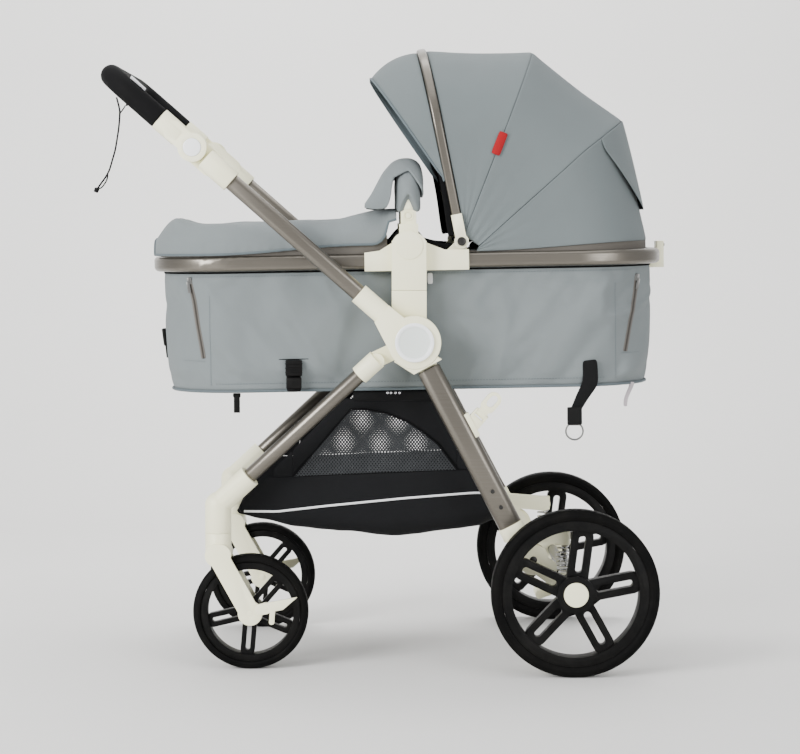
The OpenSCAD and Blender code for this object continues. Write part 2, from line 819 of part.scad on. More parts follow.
module arm_tubes() {
    color(champagne) pair() along([hub_x, hub_h], arm_angle, arm_start, arm_mid)
        oval_tube(arm_w, arm_t, arm_length - tilt_base_length + 38 - arm_start);
}

module hub_caps() {
    color([0.96, 0.97, 0.96]) pair() translate([hub_x, housing_out + run_gap, hub_h]) rotate([-90, 0, 0])
        rotate_extrude() polygon([[0, 0], [30, 0], [30, 2.5], [28, 4], [26, 4], [25.5, 3], [0, 3]]);
}

module tilt_bases() {
    color(cream) pair() difference() {
        union() {
            along([hub_x, hub_h], arm_angle, arm_length - tilt_base_length, arm_mid)
                linear_extrude(tilt_base_length - tilt_r - 4) oval(tilt_w, arm_t + 10);
            plate(tilt_inner, tilt_split)
                link([tilt_x, tilt_z] - 40 * arm_dir, [tilt_x, tilt_z], 2 * tilt_r - 5);
        }
        pin([tilt_x, tilt_z], tilt_pin_r + run_gap, tilt_inner - 1, tilt_split + 1);
        along([hub_x, hub_h], arm_angle, arm_length - tilt_base_length - 1, arm_mid)
            linear_extrude(39 + seat_gap) oval(arm_w + 2 * seat_gap, arm_t + 2 * seat_gap);
    }
}

module tilt_tops() {
    color(cream) pair() difference() {
        union() {
            pin([tilt_x, tilt_z], tilt_r, tilt_split + move_gap, housing_out);
            plate(tilt_split + move_gap, housing_out - 2)
                link([tilt_x, tilt_z], [tilt_x, tilt_z] + 40 * arm_dir, tilt_w - 4);
            along([tilt_x, tilt_z], arm_angle, tilt_r + 5, arm_mid)
                linear_extrude(tilt_top_length - tilt_r - 5) oval(tilt_w, arm_t + 10);
            // pin on which the joint turns
            pin([tilt_x, tilt_z], tilt_pin_r, tilt_inner + 1, tilt_split + 2);
        }
        // well of the push button
        pin([tilt_x, tilt_z], button_r + 0.3, housing_out - button_travel - 3, housing_out + 1);
        along([tilt_x, tilt_z], arm_angle, 38, arm_mid)
            cylinder(h = tilt_top_length, r = handle_tube_d / 2 + seat_gap);
    }
}

// The grip's U, from the tilt housings across the stroller.
module handle_loop(from) {
    half = arm_mid;
    along([tilt_x, tilt_z], arm_angle, 0, 0) {
        arch(half, handle_reach, handle_bend, from) children();
    }
}

module handle_tube() {
    color(champagne) handle_loop(39) difference() {
        circle(handle_tube_d / 2);
        circle(handle_tube_d / 2 - tube_wall);
    }
}

module handle_grip() {
    color(black_plastic) handle_loop(tilt_top_length + seat_gap) difference() {
        circle(grip_d / 2);
        circle(handle_tube_d / 2 + seat_gap);
    }
}

module tilt_button(side) {
    color([0.97, 0.97, 0.97]) on_side(side)
        translate([tilt_x, housing_out - 2, tilt_z]) rotate([-90, 0, 0]) rotate_extrude()
            polygon([[0, 0], [button_r, 0], [button_r, 3], [button_r - 1.5, 4], [0, 4]]);
}

// Route of the wrist strap, from the grip's underside to the loop at its end.
strap_y = -234;
strap_route = [[-447, 959], [-446, 952], [-446, 945], [-446, 937], [-446, 929], [-446, 921], [-446, 913],
    [-446, 905], [-447, 897], [-449, 889], [-451, 881], [-454, 873], [-457, 865], [-460, 857],
    [-464, 849], [-469, 841], [-474, 834], [-478, 828], [-480, 821], [-476, 816], [-470, 818], [-468, 825],
    [-469, 832]];
strap_d = 3;

module wrist_strap() {
    color(black_plastic) sweep([for (p = strap_route) [p.x, strap_y, p.y]], strap_d / 2, 8);
}

// ---- Carrycot ---------------------------------------------------------------

module adapters() {
    color(cream) translate([seat_x, 0, seat_h]) pair() difference() {
        union() {
            plate(core_in, housing_in - 1.5) {
                translate([-adapter_w / 2, adapter_low + move_gap])
                    square([adapter_w, -adapter_low - move_gap]);
                link([-7, 0], [7, 0], 2 * adapter_high - 4);
                translate([-adapter_w / 2, -8]) square([adapter_w, 16]);
                circle(adapter_high + 1);
            }
            translate([-tongue_w / 2, tongue_in, adapter_low - tongue_l])
                cube([tongue_w, tongue_t, tongue_l + 5]);
        }
        pin([0, 0], hub_pin_r + run_gap, core_in - 1, core_in + 9);
    }
}

module rail_section() {
    oval_h = rail_h;
    rotate(90) oval(oval_h, rail_t);
}

module seat_rail() {
    straight_x = rail_line_l / 2 - rail_corner;
    straight_y = rail_line_half - rail_corner;
    color(champagne) seat_place() translate([rail_x, 0, rail_z]) {
        pair() {
            translate([-straight_x, rail_line_half, 0]) rotate([90, 0, 90])
                linear_extrude(2 * straight_x) rail_section();
            for (m = [0, 1]) mirror([m, 0, 0]) {
                translate([straight_x, straight_y, 0]) rotate_extrude(angle = 90)
                    translate([rail_corner, 0]) rail_section();
                translate([straight_x + rail_corner, 0, 0]) rotate([90, 0, 180])
                    linear_extrude(straight_y) rail_section();
            }
        }
    }
}

module rail_joints() {
    color(cream) seat_place() pair() difference() {
        union() {
            // plate outside the rail, with the round seat joint
            plate(rail_half + seat_gap, joint_out) polygon([[-joint_l, joint_low],
                [joint_r_side, joint_low], [joint_r_side, joint_top], [60, joint_top], [30, 4],
                [-30, 4], [-50, joint_top], [-joint_l, joint_top - 3]]);
            plate(rail_half + seat_gap, joint_out) circle(adapter_high);
            // lip under the rail and bridge over it
            plate(rail_half - rail_t, joint_out - 0.5) {
                translate([1 - joint_l, joint_low + 0.2]) square([joint_l + joint_r_side - 2, 2.6]);
                translate([-20, rail_top + seat_gap])
                    square([joint_r_side + 19, joint_top - 0.5 - rail_top - seat_gap]);
            }
            // lug that carries the canopy
            plate(rail_half - rail_t, rib_rear_half - rib_t - move_gap) {
                polygon([[62, -10], [canopy_pivot.x + 9, -10], [canopy_pivot.x + 9, canopy_pivot.y],
                    [canopy_pivot.x - 9, canopy_pivot.y]]);
                translate(canopy_pivot) circle(9);
            }
            // tube that takes the bumper bar's post
            plate(bumper_half - post_t / 2 - 3, joint_out - 1)
                translate([-post_w / 2 - 3, -8]) square([post_w + 6, 44]);
        }
        translate([-post_w / 2 - seat_gap, bumper_half - post_t / 2 - seat_gap, post_low - 1])
            cube([post_w + 2 * seat_gap, post_t + 2 * seat_gap, 60]);
        pin(canopy_pivot, canopy_pin_r + run_gap, rail_half - rail_t - 1, rib_rear_half);
    }
}

// The carrycot's wall between two places along its length. It stands on the floor board.
module cot_wall_part(from_x, to_x) {
    low = -cot_depth + cot_wall;
    color(grey_cloth) seat_place() translate([rail_x, 0, low]) linear_extrude(rail_top - low) intersection() {
        difference() {
            plan(cot_l, cot_half, cot_corner);
            plan(cot_l - 2 * cot_wall, cot_half - cot_wall, cot_corner - cot_wall);
        }
        translate([from_x, -cot_half - 1]) square([to_x - from_x, 2 * cot_half + 2]);
    }
}

// The floor board with the two straight sides.
module cot_body() {
    color(grey_cloth) seat_place() translate([rail_x, 0, -cot_depth])
        linear_extrude(cot_wall) plan(cot_l, cot_half, cot_corner);
    cot_wall_part(-cot_straight, cot_straight);
}

// The rounded foot end and head end, which stand on the floor board.
module cot_ends() {
    cot_wall_part(-cot_l / 2 - 1, -cot_straight);
    cot_wall_part(cot_straight, cot_l / 2 + 1);
}

module mattress() {
    inset = cot_wall + move_gap;
    color([0.9, 0.9, 0.88]) seat_place() translate([rail_x, 0, -cot_depth + cot_wall + run_gap])
        linear_extrude(mattress_t) plan(cot_l - 2 * inset, cot_half - inset, cot_corner - inset);
}

// Cross sections of the apron, from the foot end to the bumper bar.
apron_t = 3;
apron_start = rail_x - rail_l / 2 + 5;
apron_end = -post_w / 2 - 13;
apron_lift = 18;
apron_rows = [0, 0.03, 0.08, 0.14, 0.23, 0.33, 0.48, 0.62, 0.7, 0.77, 0.84, 0.92, 1];
apron_low = rail_top + 0.3;

function apron_row(x, inset) = let (
        end = -rail_l / 2 + rail_x,
        from_end = x - end,
        plan_half = from_end >= rail_corner ? rail_half
            : rail_half - rail_corner + sqrt(max(0, pow(rail_corner, 2) - pow(rail_corner - from_end, 2))),
        to_bumper = (x - apron_end) / (apron_end - apron_start) * 3.3 + 1,
        rise = from_end < 45 ? apron_rise * sqrt(from_end / 45) : to_bumper > 0
            ? apron_rise + apron_lift * (1 - cos(180 * to_bumper)) / 2 : apron_rise,
        half = plan_half - 3 - inset,
        top = rise - inset,
        corner = min(40, top - apron_low - 2))
    [for (p = arch_line(half, top, corner, apron_low)) [x, p[0], p[1]]];

module apron() {
    xs = [for (f = apron_rows) apron_start + f * (apron_end - apron_start)];
    color(grey_cloth) seat_place() skin(
        [for (x = xs) apron_row(x, 0)],
        [for (x = xs) apron_row(x, apron_t)]);
}

module recline_clip() {
    end = rail_x + rail_l / 2;
    low = rail_z - rail_h / 2;
    color(cream) seat_place() plate(-clip_half, clip_half) {
        translate([end + seat_gap, low - 9]) square([clip_t, rail_h + 20]);
        translate([end - rail_t, low - 9]) square([rail_t + clip_t / 2, 9 - seat_gap]);
    }
}

// Screws of the canopy's pivots and of the recline clip
module seat_screws() {
    end = rail_x + rail_l / 2;
    color(chrome) seat_place() {
        pair() {
            pin(canopy_pivot, canopy_pin_r, rail_half - rail_t, bow_side + 3);
            pin(canopy_pivot, canopy_pin_r + 3.5, bow_side + 2 + run_gap, bow_side + 5);
        }
        translate([end + seat_gap + clip_t + run_gap, 0, rail_z]) rotate([0, 90, 0]) cylinder(h = 2, r = 4.5);
    }
}

module bumper_bar() {
    color(cream) seat_place() difference() {
        union() {
            arch(bumper_half, bumper_rise, bumper_corner, post_top - 3) circle(bumper_tube_d / 2);
            pair() translate([-post_w / 2, bumper_half - post_t / 2, post_low])
                cube([post_w, post_t, post_top - post_low]);
        }
        pair() pin([0, bumper_button_z], bumper_button_r + seat_gap, bumper_button_in, bumper_half + post_t);
    }
}

module bumper_cover() {
    color(grey_cloth) seat_place()
        arch(bumper_half, bumper_rise, bumper_corner, post_top + run_gap) difference() {
            circle(bumper_cover_d / 2);
            circle(bumper_tube_d / 2 + seat_gap);
        }
}

module bumper_button(side) {
    color(cream) seat_place() on_side(side) pin([0, bumper_button_z], bumper_button_r,
        bumper_button_in + 1.5, bumper_half + post_t / 2 + 1.2);
}

// ---- Canopy -----------------------------------------------------------------

module canopy_place() {
    seat_place() translate([canopy_pivot.x, 0, canopy_pivot.y]) children();
}

module bow_plane(angle) {
    rotate([0, 90 - angle, 0]) children();
}

module canopy_bow() {
    color(champagne) canopy_place() bow_plane(bow_angle)
        arch(bow_half, bow_l, canopy_corner, bow_bracket_l - 14) oval(bow_w, bow_t);
}

module canopy_brackets() {
    color(cream) canopy_place() pair() difference() {
        union() {
            plate(bow_side - bow_t, bow_side + 2) circle(12);
            bow_plane(bow_angle) translate([-9, bow_side - bow_t, 0]) cube([18, bow_t + 2, bow_bracket_l]);
        }
        bow_plane(bow_angle) translate([0, bow_half, bow_bracket_l - 14 - seat_gap])
            linear_extrude(30) oval(bow_w + 2 * seat_gap, bow_t + 2 * seat_gap);
        pin([0, 0], canopy_pin_r + run_gap, bow_half - bow_t, bow_half + bow_t);
    }
}

module canopy_rib(half, length, angle) {
    color(black_plastic) canopy_place() difference() {
        union() {
            bow_plane(angle) arch(half - rib_t / 2, length - rib_t / 2, canopy_corner - rib_t / 2, 0)
                square([rib_w, rib_t], center = true);
            pair() plate(half - rib_t - seat_gap, half + seat_gap) circle(10);
        }
        pair() pin([0, 0], canopy_pin_r + run_gap, half - rib_t - 1, half + 1);
    }
}

// A row of points of the canopy cloth in a plane at an angle, shifted along its normal.
function cloth_row(angle, half, height, inset, shift, start) = [for (p = arch_line(
        half - inset, height - inset, canopy_corner - inset, start))
    [p[1] * cos(angle) + shift * sin(angle), p[0], p[1] * sin(angle) - shift * cos(angle)]];

module cloth_panel(a, b) {
    color(grey_cloth) canopy_place() skin([a[0], b[0]], [a[1], b[1]]);
}

function cloth_pair(angle, half, height, shift) = [
    cloth_row(angle, half, height, 0, shift, canopy_start),
    cloth_row(angle, half, height, canopy_t, shift, canopy_start)];

module canopy_panel_front() {
    cloth_panel(cloth_pair(bow_angle, canopy_half, bow_l - 1, bow_w / 2 + move_gap),
        cloth_pair(mid_angle, mid_cloth[0], mid_cloth[1], -seat_gap));
}

module canopy_panel_mid() {
    cloth_panel(cloth_pair(mid_angle, mid_cloth[0], mid_cloth[1], seat_gap),
        cloth_pair(rear_angle, rear_cloth[0], rear_cloth[1], -seat_gap));
}

// The rear panel ends on the rail, along the rail's own outline.
module canopy_panel_rear() {
    back = rail_x + rail_l / 2 - canopy_pivot.x - canopy_back_inset;
    floor_z = rail_top + move_gap - canopy_pivot.y;
    base = [for (inset = [0, canopy_t]) [for (p = arch_line(rail_half - 4 - inset, back - inset,
            rail_corner - inset, canopy_start)) [p[1], p[0], floor_z]]];
    cloth_panel(cloth_pair(rear_angle, rear_cloth[0], rear_cloth[1], seat_gap), base);
}

// How far the visor's edge stands in front of the bow at a height on the bow.
function visor_out(r) = r < 130 ? 0 : min(visor_reach, (r - 130) * 0.7 + 10);

module canopy_visor() {
    start = 132;
    rows = [for (inset = [0, canopy_t])
        cloth_row(bow_angle, canopy_half, bow_l - 1, inset, -bow_w / 2 - move_gap, start)];
    lines = [for (inset = [0, canopy_t]) arch_line(canopy_half - inset, bow_l - 1 - inset,
        canopy_corner - inset, start)];
    edge = [for (k = [0, 1]) [for (i = [0 : len(rows[k]) - 1]) let (out = visor_out(lines[k][i][1]))
        rows[k][i] + [-out * 0.85, 0, -out * 0.53]]];
    color(grey_cloth) canopy_place() skin([edge[0], rows[0]], [edge[1], rows[1]]);
}

// Webbing strap with a steel ring at the head end and a side-release buckle near the foot end.
module cot_straps() {
    at = [rail_x + rail_l / 2 - 149, -cot_depth + 38];
    ring = at + [-13, -112];
    buckle = [rail_x - rail_l / 2 + 249, -cot_depth + 10];
    y0 = cot_half + 0.3;
    color(black_plastic) seat_place() mirror([0, 1, 0]) {
        plate(y0, y0 + 2.5) polygon([at + [-12, 0], at + [-12, -40], at + [-28, -62], at + [-28, -98],
            at + [2, -98], at + [2, -66], at + [14, -44], at + [14, 0]]);
        plate(y0 + 0.2, y0 + 3.2) difference() {
            translate(ring) circle(16);
            translate(ring) circle(13);
        }
        plate(y0, y0 + 8) translate(buckle) square([22, 38], center = true);
    }
}

hub_cores();
rear_legs();
rear_brackets();
rear_crossbar();
basket();
chassis_screws();
latch_base();
fold_latch();
front_legs();
front_brackets();
elbows();
front_crossbar();
fork("left");  // fork_left
fork("right");  // fork_right
front_rim("left");  // front_rim_left
front_rim("right");  // front_rim_right
front_tyre("left");  // front_tyre_left
front_tyre("right");  // front_tyre_right
lock_lever("left");  // lock_lever_left
lock_lever("right");  // lock_lever_right
rear_arms();
rear_axle();
rear_springs();
rear_rim("left");  // rear_rim_left
rear_rim("right");  // rear_rim_right
rear_tyre("left");  // rear_tyre_left
rear_tyre("right");  // rear_tyre_right
rear_caps();
brake_pedal();
arm_housings();
arm_tubes();
hub_caps();
tilt_bases();
tilt_tops();
handle_tube();
handle_grip();
tilt_button("left");  // tilt_button_left
tilt_button("right");  // tilt_button_right
wrist_strap();
adapters();
seat_rail();
rail_joints();
recline_clip();  // rail_joints
cot_body();
cot_ends();
mattress();
apron();
seat_screws();
bumper_bar();
bumper_cover();
bumper_button("left");  // bumper_button_left
bumper_button("right");  // bumper_button_right
canopy_bow();
canopy_brackets();
canopy_rib(rib_mid_half, mid_l, mid_angle);  // canopy_rib_mid
canopy_rib(rib_rear_half, rear_l, rear_angle);  // canopy_rib_rear
canopy_panel_front();
canopy_panel_mid();
canopy_panel_rear();
canopy_visor();
cot_straps();
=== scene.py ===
"""Baby stroller with a two-way handle, a lift-off carrycot and a folding canopy: the looks of the model.

Metres, in the model's own frame: +X towards the large wheels, +Y across, +Z up, the ground at zero.
"""
import contextlib
import functools
import json
import math

import bpy
from mathutils import Euler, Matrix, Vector, noise

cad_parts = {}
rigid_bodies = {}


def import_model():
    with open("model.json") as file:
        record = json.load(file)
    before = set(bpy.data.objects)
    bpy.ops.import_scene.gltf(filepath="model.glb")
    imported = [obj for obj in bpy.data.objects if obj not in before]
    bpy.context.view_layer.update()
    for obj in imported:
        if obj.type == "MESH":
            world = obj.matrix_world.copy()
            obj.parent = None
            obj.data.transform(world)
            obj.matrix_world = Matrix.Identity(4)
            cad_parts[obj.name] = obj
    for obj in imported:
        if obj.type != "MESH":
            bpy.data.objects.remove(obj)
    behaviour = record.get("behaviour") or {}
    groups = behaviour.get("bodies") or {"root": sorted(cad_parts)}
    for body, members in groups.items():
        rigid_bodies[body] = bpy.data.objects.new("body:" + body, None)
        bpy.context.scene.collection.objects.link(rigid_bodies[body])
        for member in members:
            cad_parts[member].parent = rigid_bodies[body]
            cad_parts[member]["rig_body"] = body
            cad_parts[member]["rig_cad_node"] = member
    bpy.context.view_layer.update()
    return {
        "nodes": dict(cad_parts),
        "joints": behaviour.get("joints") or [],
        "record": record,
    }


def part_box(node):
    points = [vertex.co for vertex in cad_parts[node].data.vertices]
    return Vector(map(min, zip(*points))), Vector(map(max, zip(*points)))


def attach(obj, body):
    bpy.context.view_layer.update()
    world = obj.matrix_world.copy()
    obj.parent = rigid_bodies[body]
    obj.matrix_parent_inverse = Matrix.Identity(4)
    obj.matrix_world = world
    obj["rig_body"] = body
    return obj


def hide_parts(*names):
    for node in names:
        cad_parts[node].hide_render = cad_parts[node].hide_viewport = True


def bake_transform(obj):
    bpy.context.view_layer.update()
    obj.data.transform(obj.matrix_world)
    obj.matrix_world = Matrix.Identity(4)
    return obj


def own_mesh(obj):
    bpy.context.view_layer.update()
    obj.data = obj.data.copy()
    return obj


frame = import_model()
scene = bpy.context.scene
JOINTS = {joint["name"]: joint for joint in frame["joints"]}
SIDES = {"left": -1, "right": 1}


# ---- Places ------------------------------------------------------------------

def joint_place(name):
    return Vector(JOINTS[name]["pos_m"])


HUB = joint_place("handle_swing")
TILT = joint_place("handle_tilt")
SEAT = joint_place("seat_tilt")
CANOPY = joint_place("canopy_fold")
REAR_AXLE = joint_place("rear_spin_left")
FRONT_AXLE = joint_place("front_spin_left")
LEAN = math.radians(1.0)
REAR_LEG_FOOT_X, REAR_LEG_FOOT_Z = 0.201, 0.2485
REAR_LEG_TURN = math.atan2(REAR_LEG_FOOT_Z - HUB.z, REAR_LEG_FOOT_X - HUB.x)
FRONT_LEG_ANGLE, ARM_ANGLE = 222.8, 138.7
BOW_ANGLE, MID_ANGLE, REAR_ANGLE = 100.4, 67.8, 35.2


def seat_point(x, y, z):
    """A point given in the carrycot's own frame, whose origin is the seat joint."""
    return Vector((SEAT.x + x * math.cos(LEAN) - z * math.sin(LEAN), y,
                   SEAT.z + x * math.sin(LEAN) + z * math.cos(LEAN)))


def canopy_point(angle, r, y, shift=0.0):
    """A point in the canopy's plane at an angle above the rail, r from its pivot."""
    a = math.radians(angle) + LEAN
    return Vector((CANOPY.x + r * math.cos(a) + shift * math.sin(a), y,
                   CANOPY.z + r * math.sin(a) - shift * math.cos(a)))


def smooth(t):
    t = min(max(t, 0.0), 1.0)
    return t * t * (3 - 2 * t)


def ripple(point, size, seed=0.0):
    """Soft noise from -1 to 1 with folds about that size, in metres."""
    return noise.noise(Vector(point) / size + Vector((seed, seed * 0.7, 3.1 * seed)))


# ---- Selecting, shaping and finishing -----------------------------------------

def select_only(piece):
    bpy.ops.object.select_all(action="DESELECT")
    piece.select_set(True)
    bpy.context.view_layer.objects.active = piece


def add_modifier(piece, kind, **settings):
    """Adds a modifier with its settings and applies it."""
    select_only(piece)
    modifier = piece.modifiers.new(kind.lower(), kind)
    for name, value in settings.items():
        setattr(modifier, name, value)
    bpy.ops.object.modifier_apply(modifier=modifier.name)
    return piece


def start_piece(name):
    """Takes the primitive that was just added, and puts its place into its mesh."""
    piece = bpy.context.active_object
    piece.name = name
    select_only(piece)
    bpy.ops.object.transform_apply(location=True, rotation=True, scale=True)
    return piece


def round_edges(piece, width, segments=2, angle=30):
    add_modifier(piece, "BEVEL", width=width, segments=segments, limit_method="ANGLE",
                 angle_limit=math.radians(angle))
    select_only(piece)
    bpy.ops.object.shade_smooth_by_angle(angle=math.radians(35))
    return piece


def block(name, size, place, turn=(0, 0, 0), edge=0.0008, segments=2):
    """A moulded block of that size with rounded edges."""
    bpy.ops.mesh.primitive_cube_add(size=1, location=place, rotation=turn)
    bpy.context.active_object.scale = size
    return round_edges(start_piece(name), edge, segments)


def finish(piece, body, finish_slot, *materials):
    """Gives a piece its materials and the body it rides on; finish_slot is not used."""
    piece.data.materials.clear()
    for material in materials:
        piece.data.materials.append(material)
    if body:
        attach(piece, body)
    return piece


@contextlib.contextmanager
def whole_mesh(piece):
    """Edit mode with all of the piece selected."""
    select_only(piece)
    bpy.ops.object.mode_set(mode="EDIT")
    bpy.ops.mesh.select_all(action="SELECT")
    yield piece
    bpy.ops.object.mode_set(mode="OBJECT")


def merge_points(piece, threshold=1e-5):
    with whole_mesh(piece):
        bpy.ops.mesh.remove_doubles(threshold=threshold)
        bpy.ops.mesh.normals_make_consistent(inside=False)
    return piece


def close_ends(piece):
    """Fills the open ends of a closed tube of cloth."""
    with whole_mesh(piece):
        bpy.ops.mesh.fill_holes(sides=0)
        bpy.ops.mesh.normals_make_consistent(inside=False)
    return piece


def shade_smooth(piece):
    select_only(piece)
    bpy.ops.object.shade_smooth()
    return piece


def join(name, pieces):
    """Several meshes made into one piece."""
    bpy.ops.object.select_all(action="DESELECT")
    for piece in pieces:
        piece.select_set(True)
    bpy.context.view_layer.objects.active = pieces[0]
    bpy.ops.object.join()
    pieces[0].name = name
    return pieces[0]


def cloth(name, rows, around=False, inside=None):
    """A surface of cloth through rows of points, with UVs that are its own lengths in metres.

    Its face turns away from the point inside, or from the middle of its points."""
    count, wide = len(rows), len(rows[0])
    faces = []
    for i in range(count - 1):
        for j in range(wide if around else wide - 1):
            k = (j + 1) % wide
            faces.append((i * wide + j, i * wide + k, (i + 1) * wide + k, (i + 1) * wide + j))
    mesh = bpy.data.meshes.new(name)
    mesh.from_pydata([tuple(p) for row in rows for p in row], [], faces)
    if inside is None:
        inside = sum((vertex.co for vertex in mesh.vertices), Vector()) / len(mesh.vertices)
    if sum((polygon.center - Vector(inside)).dot(polygon.normal) * polygon.area for polygon in mesh.polygons) < 0:
        mesh.flip_normals()
    middle = rows[count // 2]
    along = [0.0]
    for j in range(1, wide + 1):
        along.append(along[-1] + (Vector(middle[j % wide]) - Vector(middle[j - 1])).length)
    across = [0.0]
    for i in range(1, count):
        across.append(across[-1] + (Vector(rows[i][wide // 2]) - Vector(rows[i - 1][wide // 2])).length)
    layer = mesh.uv_layers.new(name="cloth")
    for polygon in mesh.polygons:
        columns = [mesh.loops[index].vertex_index % wide for index in polygon.loop_indices]
        wraps = max(columns) - min(columns) > 1
        for index, column in zip(polygon.loop_indices, columns):
            row = mesh.loops[index].vertex_index // wide
            column = wide if wraps and column == 0 else column
            layer.data[index].uv = (along[column], across[row])
    piece = bpy.data.objects.new(name, mesh)
    scene.collection.objects.link(piece)
    return piece


def thicken(piece, thickness, levels=1, inner=0, offset=-1.0):
    """Gives cloth its thickness, with the second material inside if inner is 1, and smooths it."""
    add_modifier(piece, "SOLIDIFY", thickness=thickness, offset=offset, material_offset=inner)
    if levels:
        add_modifier(piece, "SUBSURF", levels=levels, render_levels=levels)
    return shade_smooth(piece)


def tube(name, path, radius, sides=12, around=False):
    """A round tube or piping along a list of points, closed at its ends."""
    curve = bpy.data.curves.new(name, "CURVE")
    curve.dimensions = "3D"
    curve.bevel_depth = radius
    curve.bevel_resolution = max(1, sides // 4 - 1)
    curve.use_fill_caps = not around
    spline = curve.splines.new("POLY")
    spline.points.add(len(path) - 1)
    for point, place in zip(spline.points, path):
        point.co = (*place, 1)
    spline.use_cyclic_u = around
    holder = bpy.data.objects.new(name, curve)
    scene.collection.objects.link(holder)
    select_only(holder)
    bpy.ops.object.convert(target="MESH")
    piece = bpy.context.active_object
    piece.name = name
    merge_points(piece)
    bpy.ops.object.shade_smooth_by_angle(angle=math.radians(50))
    return piece


def add_uv(piece):
    """UVs in metres for a piece not woven from rows: each face is laid flat along its main plane."""
    mesh = piece.data
    layer = mesh.uv_layers.get("cloth") or (mesh.uv_layers[0] if mesh.uv_layers else mesh.uv_layers.new(name="cloth"))
    layer.name = "cloth"
    for polygon in mesh.polygons:
        n = polygon.normal
        for index in polygon.loop_indices:
            co = mesh.vertices[mesh.loops[index].vertex_index].co
            if abs(n.y) >= max(abs(n.x), abs(n.z)):
                layer.data[index].uv = (co.x, co.z)
            elif abs(n.z) >= abs(n.x):
                layer.data[index].uv = (co.x, co.y)
            else:
                layer.data[index].uv = (co.y, co.z)
    return piece


def settle(piece, held, frames=20, slack=0.0, pressure=0.0, cap=0.006, bending=0.5):
    """Lets cloth find its own folds: held points stay, and no point moves further than cap."""
    group = piece.vertex_groups.new(name="held")
    for index, weight in enumerate(held):
        group.add([index], weight, "REPLACE")
    modifier = piece.modifiers.new("folds", "CLOTH")
    fabric = modifier.settings
    fabric.quality = 6
    fabric.mass = 0.15
    fabric.tension_stiffness = fabric.compression_stiffness = 20
    fabric.shear_stiffness = 8
    fabric.bending_stiffness = bending
    fabric.air_damping = 3
    fabric.vertex_group_mass = "held"
    fabric.shrink_min = -slack
    fabric.shrink_max = -slack
    if pressure:
        fabric.use_pressure = True
        fabric.uniform_pressure_force = pressure
    fabric.effector_weights.gravity = 0
    modifier.point_cache.frame_start = 1
    modifier.point_cache.frame_end = frames
    for step in range(1, frames + 1):
        scene.frame_set(step)
    shown = piece.evaluated_get(bpy.context.evaluated_depsgraph_get())
    moved = [vertex.co.copy() for vertex in shown.data.vertices]
    piece.modifiers.remove(modifier)
    piece.vertex_groups.remove(group)
    scene.frame_set(1)
    for vertex, place in zip(piece.data.vertices, moved):
        step = place - vertex.co
        vertex.co += step * min(1.0, cap / max(step.length, 1e-9))
    return piece


# ---- Finishes: groups of nodes --------------------------------------------------

def put(tree, kind, feeds=None, **settings):
    """Adds a node; a feed is a number, a colour or another node's socket."""
    node = tree.nodes.new("ShaderNode" + kind)
    for name, value in settings.items():
        setattr(node, name, value)
    for name, value in (feeds or {}).items():
        if isinstance(value, bpy.types.NodeSocket):
            tree.links.new(value, node.inputs[name])
        else:
            node.inputs[name].default_value = value
    return node


def reckon(tree, operation, *values):
    return put(tree, "Math", dict(enumerate(values)), operation=operation).outputs[0]


def blend_colours(tree, share, first, second):
    node = put(tree, "Mix", data_type="RGBA")
    for socket, value in ((node.inputs[0], share), (node.inputs[6], first), (node.inputs[7], second)):
        if isinstance(value, bpy.types.NodeSocket):
            tree.links.new(value, socket)
        else:
            socket.default_value = value
    return node.outputs[2]


def effect(name, takes, gives):
    """An empty node group with named inputs and outputs, and its two ends."""
    tree = bpy.data.node_groups.new(name, "ShaderNodeTree")
    for label, kind, value in takes:
        socket = tree.interface.new_socket(label, in_out="INPUT", socket_type="NodeSocket" + kind)
        if value is not None:
            socket.default_value = value
    for label, kind in gives:
        tree.interface.new_socket(label, in_out="OUTPUT", socket_type="NodeSocket" + kind)
    return tree, tree.nodes.new("NodeGroupInput").outputs, tree.nodes.new("NodeGroupOutput").inputs


def make_weave():
    """Threads over and under each other, with slubs and a little unevenness of the dye."""
    tree, takes, gives = effect(
        "woven threads",
        [("Place", "Vector", None), ("Pitch", "Float", 0.0007), ("Colour", "Color", (0.3, 0.3, 0.3, 1)),
         ("Unevenness", "Float", 0.08)],
        [("Colour", "Color"), ("Height", "Float"), ("Roughness", "Float")])
    split = put(tree, "SeparateXYZ", {"Vector": takes["Place"]})
    turns = reckon(tree, "DIVIDE", math.tau, takes["Pitch"])
    warp = reckon(tree, "SINE", reckon(tree, "MULTIPLY", split.outputs[0], turns))
    weft = reckon(tree, "SINE", reckon(tree, "MULTIPLY", split.outputs[1], turns))
    threads = reckon(tree, "MULTIPLY", warp, weft)
    slub = put(tree, "TexNoise", {"Vector": takes["Place"], "Scale": 420.0, "Detail": 3.0}).outputs["Fac"]
    cloud = put(tree, "TexNoise", {"Vector": takes["Place"], "Scale": 14.0, "Detail": 4.0}).outputs["Fac"]
    tree.links.new(reckon(tree, "ADD", threads, slub), gives["Height"])
    tone = reckon(tree, "ADD", reckon(tree, "MULTIPLY", slub, 0.35), reckon(tree, "MULTIPLY", cloud, 0.65))
    share = reckon(tree, "MULTIPLY", tone, takes["Unevenness"])
    tree.links.new(blend_colours(tree, share, takes["Colour"], (0.02, 0.022, 0.025, 1)), gives["Colour"])
    tree.links.new(reckon(tree, "ADD", 0.72, reckon(tree, "MULTIPLY", cloud, 0.2)), gives["Roughness"])
    return tree


